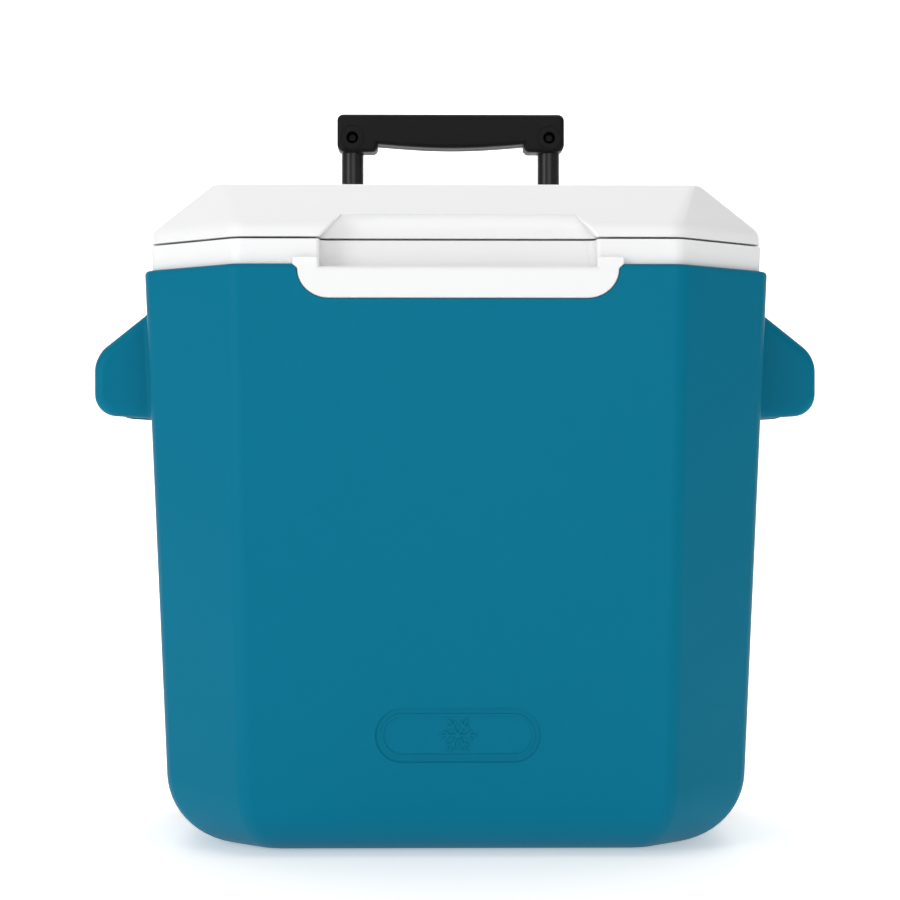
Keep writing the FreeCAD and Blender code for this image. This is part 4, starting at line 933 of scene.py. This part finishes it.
for node_name, towards, head, height, paint, body, slot in (
        # The grip's screws take the zinc painted near black, as painted shade of their sunk holes.
        ("grip_screws", -1, 0.004, 0.0024, zinc_in_painted_shade, "handle_inner", "zinc_steel"),
        ("bracket_screws", 1, 0.004, 0.0024, zinc_plate, "body", "zinc_steel"),
        ("hinge_base_screws", 1, 0.004, 0.0024, zinc_plate, "body", "zinc_steel"),
        ("hinge_leaf_screws", 1, 0.0028, 0.0012, zinc_plate, "lid", "zinc_steel")):
    made = []
    for x, near, far, z in screw_places(node_name):
        seat = near + height if towards < 0 else far - height
        made.append(cross_screw(x, seat, z, towards, head, height, far - near - height))
    piece_of(joined(*made), node_name + "_set", paint, body, slot, node_name)


# ---------------------------------------------------------------- handle tubes
# Three steel tubes slide inside one another on each side, painted black.  Plastic collars
# guide them, and a moulded bridge ties the middle pair together.

tube_paint = moulded("tube_paint", (0.01, 0.01, 0.0105), 0.3, shift=0.1, grain_depth=0.05, wear=0.2,
                     gloss=0.3)
bush_plastic = moulded("bush_plastic", (0.55, 0.54, 0.5), 0.5)
tube_wall = 0.0015
tube_roll = 0.0005
collar_mouth = 0.01008


def rolled(low, high, inner, outer):
    """Outline of an upright ring with its four edges slightly rounded."""
    cut = tube_roll
    soft = cut * 0.3
    return ((low, inner + cut), (low, outer - cut), (low + soft, outer - soft), (low + cut, outer),
            (high - cut, outer), (high - soft, outer - soft), (high, outer - cut), (high, inner + cut),
            (high - soft, inner + soft), (high - cut, inner), (low + cut, inner), (low + soft, inner + soft))


for side, side_name in ((-1, "left"), (1, "right")):
    for stage, body in (("guide", "body"), ("middle", "handle_middle"), ("inner", "handle_inner")):
        low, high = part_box(f"{stage}_tube_{side_name}")
        radius = (high.x - low.x) / 2
        profile = rolled(low.z, high.z, radius - tube_wall, radius)
        tube = turned(profile, (side * tube_x, tube_y, 0), (0, 0, 1))
        piece_of(tube, f"{stage}_tube_skin_{side_name}", tube_paint, body, "black_tube",
                 f"{stage}_tube_{side_name}")
    low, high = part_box(f"guide_collar_{side_name}")
    radius = (high.x - low.x) / 2
    guide_low, guide_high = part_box(f"guide_tube_{side_name}")
    guide_radius = (guide_high.x - guide_low.x) / 2
    profile = ((low.z, guide_radius + free_gap), (low.z, radius - 0.0006), (low.z + 0.0006, radius),
               (high.z - 0.0035, radius), (high.z - 0.0024, radius - 0.0004),
               (high.z - 0.0009, radius - 0.0016), (high.z, radius - 0.0034),
               (high.z, collar_mouth + tube_roll), (high.z - tube_roll, collar_mouth),
               (guide_high.z + free_gap, collar_mouth), (guide_high.z + free_gap, guide_radius + free_gap))
    collar = turned(profile, (side * tube_x, tube_y, 0), (0, 0, 1))
    piece_of(collar, f"collar_{side_name}", black_plastic, "body", "black_plastic",
             f"guide_collar_{side_name}")

web_half = 0.005
web_rise = 0.006
web_round = 0.002
bridge_low, bridge_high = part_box("stage_bridge")
bridge_radius = bridge_high.x - tube_x
middle_low, middle_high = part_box("middle_tube_right")
middle_radius = (middle_high.x - middle_low.x) / 2
web = block((-tube_x, tube_y - web_half, bridge_low.z + web_rise), (tube_x, tube_y + web_half, middle_high.z))
long_edges = [edge for edge in web.edges if abs(edge.verts[0].co.x - edge.verts[1].co.x) > 0.01]
soften(web, long_edges, web_round, 4)
ring_profile = ((bridge_low.z, axis_radius), (bridge_low.z, bridge_radius - 0.0012),
                (bridge_low.z + 0.0004, bridge_radius - 0.0004), (bridge_low.z + 0.0012, bridge_radius),
                (bridge_high.z - 0.0035, bridge_radius), (bridge_high.z - 0.0022, bridge_radius - 0.0005),
                (bridge_high.z - 0.0009, bridge_radius - 0.0016), (bridge_high.z, bridge_radius - 0.0035),
                (bridge_high.z, axis_radius))
rings = []
bores = []
for side in (-1, 1):
    rings.append(turned(ring_profile, (side * tube_x, tube_y, 0), (0, 0, 1)))
    bores.append(drum(middle_radius + free_gap, middle_high.z - bridge_low.z + 0.01 + free_gap,
                      (side * tube_x, tube_y, bridge_low.z - 0.01), (0, 0, 1), 64))
    bores.append(drum(inner_radius + slide_gap, 0.05, (side * tube_x, tube_y, bridge_high.z - 0.03),
                      (0, 0, 1), 64))
bridge = solid(solid(web, "UNION", *rings), "DIFFERENCE", *bores)
piece_of(bridge, "bridge", black_plastic, "handle_middle", "black_plastic", "stage_bridge")


# ---------------------------------------------------------------- handle brackets
# Two black nylon mouldings hold the guide tubes: a plate that follows the leaning back, and
# an arm with a closed ring round each tube.  Four screws fix each plate to the shell.

bracket_wall = 0.004
bracket_plate = 0.006
bracket_corner = 0.006
bracket_edge = 0.0016
bracket_root = 0.03
ring_cut = 0.0015
ring_soft = 0.0005
rib = 0.003
rib_stand = 0.006


def eased(low, high, radius, cut, soft):
    """Outline of a plain rod with a small rounding round each end."""
    return ((low, axis_radius), (low, radius - cut), (low + soft, radius - soft), (low + cut, radius),
            (high - cut, radius), (high - soft, radius - soft), (high, radius - cut), (high, axis_radius))


for node_name in ("handle_bracket_upper", "handle_bracket_lower"):
    low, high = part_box(node_name)
    spread = high.x
    ring = guide_radius + bracket_wall
    face_y = half_depth - (shell_top - high.z) * wall_lean + bracket_plate
    start_y = half_depth - bracket_root
    outline = ((-spread, start_y, low.z), (spread, start_y, low.z), (spread, start_y, high.z),
               (-spread, start_y, high.z))
    plate = prism(outline, (0, face_y - start_y, 0), dict.fromkeys(range(4), bracket_corner), 6)
    soften(plate, edges_where(plate, lambda point: point.y > face_y - 0.0001), bracket_edge, 4)
    parts = []
    for side in (-1, 1):
        parts.append(block((side * tube_x - ring + 0.001, face_y - 0.004, low.z + 0.0012),
                           (side * tube_x + ring - 0.001, tube_y, high.z - 0.0012)))
        parts.append(turned(eased(low.z, high.z, ring, ring_cut, ring_soft), (side * tube_x, tube_y, 0),
                            (0, 0, 1)))
    for rise in (low.z + rib / 2, high.z - 1.5 * rib):
        parts.append(block((-tube_x, face_y - 0.002, rise), (tube_x, face_y + rib_stand, rise + rib)))
    bracket = solid(plate, "UNION", *parts)
    tools = [tub_block(-seat_gap / 2, shell_top, 0)]
    for side in (-1, 1):
        place = (side * tube_x, tube_y, low.z - 0.01)
        tools.append(drum(guide_radius + free_gap, 0.06, place, (0, 0, 1), 64))
    bracket = solid(bracket, "DIFFERENCE", *tools)
    piece_of(bracket, node_name + "_moulding", black_plastic, "body", "black_plastic", node_name)


# ---------------------------------------------------------------- hinges
# Each hinge is two black nylon mouldings on a steel pin: a base with two knuckles screwed to
# the back of the rim, and a leaf with the middle knuckle screwed into the lid's notch.

hinge_rise = 0.0187
hinge_z = rim_top + hinge_rise
hinge_ring = 0.009
hinge_root = 0.0076
hinge_drop = 0.0255
hinge_face = half_depth + 0.005
hinge_corner = 0.005
hinge_edge = 0.0014
knuckle_cut = 0.0006
arm_inset = 0.0004
pin_bore = 0.00245
leaf_thick = 0.0025
leaf_corner = 0.003
leaf_edge = 0.0007


def chamfered(low, high, radius, cut):
    """Outline of a plain rod with its two rims cut off a little."""
    return ((low, axis_radius), (low, radius - cut), (low + cut, radius), (high - cut, radius),
            (high, radius - cut), (high, axis_radius))


for side, side_name in ((-1, "left"), (1, "right")):
    middle = side * hinge_x
    foot = shell_top - hinge_drop
    start_y = half_depth - hinge_root
    outline = ((middle - hinge_half, start_y, foot), (middle + hinge_half, start_y, foot),
               (middle + hinge_half, start_y, hinge_z), (middle - hinge_half, start_y, hinge_z))
    plate = prism(outline, (0, hinge_face - start_y, 0),
                  {0: hinge_corner, 1: hinge_corner, 2: 0.0015, 3: 0.0015}, 6)
    soften(plate, edges_where(plate, lambda point: point.y > hinge_face - 0.0001), hinge_edge, 4)
    over_rim = block((middle - 0.03, 0.1, rim_top), (middle + 0.03, hinge_y + knuckle + 0.001, 0.5))
    plate = solid(plate, "DIFFERENCE", over_rim)
    parts = []
    for start in (middle - hinge_half, middle + hinge_ring):
        end = start + hinge_half - hinge_ring
        parts.append(turned(chamfered(0, end - start, knuckle, knuckle_cut), (start, hinge_y, hinge_z),
                            (1, 0, 0), 40))
        parts.append(block((start + arm_inset, hinge_y, hinge_z - knuckle),
                           (end - arm_inset, hinge_face - 0.0016, hinge_z - arm_inset)))
    base = solid(plate, "UNION", *parts)
    base = solid(base, "DIFFERENCE", tub_block(-seat_gap / 2, shell_top, 0),
                 tub_block(rim_inset - seat_gap / 2, rim_top + 0.0001, shell_top - 0.001),
                 drum(pin_bore, 0.08, (middle - 0.04, hinge_y, hinge_z), (1, 0, 0), 32))
    piece_of(base, "hinge_base_moulding_" + side_name, black_plastic, "body", "black_plastic",
             "hinge_base_" + side_name)
    inner = hinge_ring - seat_gap
    barrel = turned(chamfered(-inner, inner, knuckle, knuckle_cut), (middle, hinge_y, hinge_z), (1, 0, 0), 40)
    leaf_low, leaf_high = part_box("hinge_leaf_" + side_name)
    leaf_back = notch_front + leaf_thick
    outline = ((leaf_low.x, leaf_low.y, leaf_low.z), (leaf_high.x, leaf_low.y, leaf_low.z),
               (leaf_high.x, leaf_low.y, leaf_high.z), (leaf_low.x, leaf_low.y, leaf_high.z))
    leaf = prism(outline, (0, leaf_back - leaf_low.y, 0), dict.fromkeys(range(4), leaf_corner), 5)
    soften(leaf, edges_where(leaf, lambda point: point.y > leaf_back - 0.0001), leaf_edge, 3)
    neck = block((middle - inner + arm_inset, leaf_back - 0.001, hinge_z - knuckle),
                 (middle + inner - arm_inset, hinge_y, hinge_z + 0.002))
    leaf = solid(leaf, "UNION", barrel, neck)
    leaf = solid(leaf, "DIFFERENCE", drum(pin_bore, 0.08, (middle - 0.04, hinge_y, hinge_z), (1, 0, 0), 32))
    piece_of(leaf, "hinge_leaf_moulding_" + side_name, black_plastic, "lid", "black_plastic",
             "hinge_leaf_" + side_name)
    pin_low, pin_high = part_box("hinge_pin_" + side_name)
    pin_radius = (pin_high.z - pin_low.z) / 2
    profile = chamfered(0, pin_high.x - pin_low.x, pin_radius, knuckle_cut)
    pin = turned(profile, (pin_low.x, hinge_y, hinge_z), (1, 0, 0), 32)
    piece_of(pin, "hinge_pin_rod_" + side_name, zinc_plate, "body", "zinc_steel", "hinge_pin_" + side_name)


# ---------------------------------------------------------------- lid's inner panel
# A white panel closes the lid from below.  Its plug drops into the tub, and the foam fills
# the dish behind it.

plug_gap = 0.0025
plug_depth = 0.0088
plug_upright = 0.0055
plug_round = 0.004
plug_inset = wall_thickness + plug_gap
plug_foot = rim_top - plug_depth
panel_top = lid_foot + lid_wall
panel_inset = rim_inset + lid_wall + seat_gap - (shell_top - panel_top) * wall_lean
panel_block = tub_block(panel_inset, panel_top, lid_foot)
plug = tub_block(plug_inset, panel_top, plug_foot)
soften(plug, [edge for edge in plug.edges if mitred(edge)], plug_upright, 6)
soften(plug, edges_where(plug, lambda point: point.z < plug_foot + 0.0001), plug_round, 5)
inner_panel = solid(panel_block, "UNION", plug)
dish = tub_block(plug_inset + lid_wall, panel_top + 0.005, plug_foot + lid_wall)
gap = lid_wall + seat_gap
inner_panel = solid(inner_panel, "DIFFERENCE", dish, finger_recess(gap, recess_round), *hinge_gaps(gap))
piece_of(inner_panel, "lid_inner_panel", white_plastic, "lid", "white_plastic", "lid_liner")


# ---------------------------------------------------------------- wheels
# Each wheel is a nylon hub with a moulded rubber tyre, a bush on the steel axle, and a
# snap-on cap that hides the axle's end.  Six round holes lighten the hub's web.

tyre_rubber = moulded("tyre_rubber", (0.016, 0.016, 0.017), 0.78, shift=0.15, grain_scale=900,
                      grain_depth=0.35, wear=0.3, gloss=0.3)
tyre_depth = 0.008
tyre_notches = 36
groove_depth = 0.0014
notch_long = 0.0042
notch_over = 0.001
notch_half_width = 0.0009
hub_rim = 0.005
hub_web = 0.006
hub_barrel = 0.014
hub_seat = 0.0081
hub_fillet = 0.0012
hub_soft = 0.0004
hub_edge = 0.0005
hub_holes = 6
hub_hole = 0.0085
hub_hole_round = 0.0007
cap_wall = 0.0025
cap_mouth = 0.01405
tyre_seat = wheel_radius - tyre_depth + free_gap
groove = wheel_radius - groove_depth
hub_outer = wheel_radius - tyre_depth
under = hub_outer - hub_rim


def both_sides(half, width):
    """A wheel part's whole outline from the half of it next to the shell."""
    return list(half) + [(width - along, radius) for along, radius in reversed(half)]


def tyre_notch(low_x, high_x, turn):
    """A short block that cuts one notch across a tyre's shoulder."""
    mesh = block((low_x, axle_y - notch_half_width, axle_z + wheel_radius - 0.0016),
                 (high_x, axle_y + notch_half_width, axle_z + wheel_radius + 0.002))
    bmesh.ops.rotate(mesh, verts=list(mesh.verts), cent=(0, axle_y, axle_z), matrix=turn)
    return mesh


def on_ring(number):
    """The middle of one of the hub's holes, across and up."""
    angle = 2 * math.pi * number / hub_holes
    ring = (hub_barrel + under) / 2
    return axle_y + ring * math.cos(angle), axle_z + ring * math.sin(angle)


def round_mouths(mesh):
    """Round both rims of every hole in a hub."""
    rims = []
    for number in range(hub_holes):
        hole_y, hole_z = on_ring(number)
        rims += edges_where(mesh, lambda point: abs(
            math.hypot(point.y - hole_y, point.z - hole_z) - hub_hole) < 0.00003)
    rims = [edge for edge in rims if abs(edge.verts[0].co.x - edge.verts[1].co.x) < 0.0001]
    soften(mesh, rims, hub_hole_round, 3)


for side, side_name in ((-1, "left"), (1, "right")):
    low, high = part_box("wheel_tyre_" + side_name)
    width = high.x - low.x
    start_x = low.x if side > 0 else high.x
    body = "wheel_" + side_name
    centre = (start_x, axle_y, axle_z)
    half = ((0, tyre_seat), (0, 0.0515), (0.0006, 0.0532), (0.0016, 0.0544), (0.003, wheel_radius),
            (0.0068, wheel_radius), (0.0071, groove), (0.0087, groove), (0.009, wheel_radius),
            (0.0129, wheel_radius), (0.0132, groove))
    tyre = turned(both_sides(half, width), centre, (side, 0, 0), 96)
    notches = []
    for number in range(tyre_notches):
        turn = Matrix.Rotation(2 * math.pi * number / tyre_notches, 3, "X")
        for along in (-notch_over, width - notch_long):
            near, far = sorted((start_x + side * along, start_x + side * (along + notch_long + notch_over)))
            notches.append(tyre_notch(near, far, turn))
    tyre = solid(tyre, "DIFFERENCE", joined(*notches))
    piece_of(tyre, "tyre_" + side_name, tyre_rubber, body, "tyre_rubber", "wheel_tyre_" + side_name)

    hub_low, hub_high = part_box("wheel_hub_" + side_name)
    stand = (hub_high.x - hub_low.x - width) / 2
    web_start = (width - hub_web) / 2
    half = ((-stand, hub_seat), (-stand, hub_barrel - hub_edge), (-stand + hub_edge, hub_barrel),
            (web_start - hub_fillet, hub_barrel), (web_start - hub_soft, hub_barrel + hub_soft),
            (web_start, hub_barrel + hub_fillet), (web_start, under - hub_fillet),
            (web_start - hub_soft, under - hub_soft), (web_start - hub_fillet, under),
            (0.001 + hub_edge, under), (0.001, under + hub_edge), (0.001, hub_outer))
    hub = turned(both_sides(half, width), centre, (side, 0, 0), 96)
    drills = []
    for number in range(hub_holes):
        hole_y, hole_z = on_ring(number)
        drills.append(drum(hub_hole, width, (start_x, hole_y, hole_z), (side, 0, 0), 40))
    hub = solid(hub, "DIFFERENCE", *drills)
    round_mouths(hub)
    piece_of(hub, "hub_" + side_name, black_plastic, body, "black_plastic", "wheel_hub_" + side_name)

    cap_low, cap_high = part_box("wheel_cap_" + side_name)
    cap_start = cap_low.x if side > 0 else cap_high.x
    length = cap_high.x - cap_low.x
    cap_radius = (cap_high.z - cap_low.z) / 2
    profile = ((0, cap_mouth), (0, cap_radius - 0.0004), (0.0004, cap_radius), (length - 0.005, cap_radius),
               (length - 0.0028, cap_radius - 0.0006), (length - 0.0012, cap_radius - 0.0022),
               (length - 0.0004, cap_radius - 0.0045), (length - 0.0002, 0.0095), (length - 0.0008, 0.0092),
               (length - 0.0008, 0.0084), (length - 0.0002, 0.0081), (length, axis_radius),
               (length - cap_wall, axis_radius), (length - cap_wall, cap_mouth))
    cap = turned(profile, (cap_start, axle_y, axle_z), (side, 0, 0), 96)
    piece_of(cap, "cap_" + side_name, black_plastic, body, "black_plastic", "wheel_cap_" + side_name)


# ---------------------------------------------------------------- carried-over pieces
# Inner pieces that are seen only in gaps keep their own shapes: the foam, the lid's inner
# panel, the sleeves and sliders.  Each gets the finish of what it is made of.

foam_plastic = moulded("foam_plastic", (0.75, 0.62, 0.35), 0.9, grain_scale=300, grain_depth=0.5)
slot_paint = {
    "shell_plastic": teal_plastic, "white_plastic": white_plastic, "black_plastic": black_plastic,
    "black_tube": tube_paint, "zinc_steel": zinc_plate, "foam": foam_plastic,
    "tyre_rubber": tyre_rubber, "bush_plastic": bush_plastic,
}
for entry in frame["record"]["subparts"]:
    node = frame["nodes"][entry["node"]]
    node.data.materials.clear()
    node.data.materials.append(slot_paint[entry["material_slot"]])
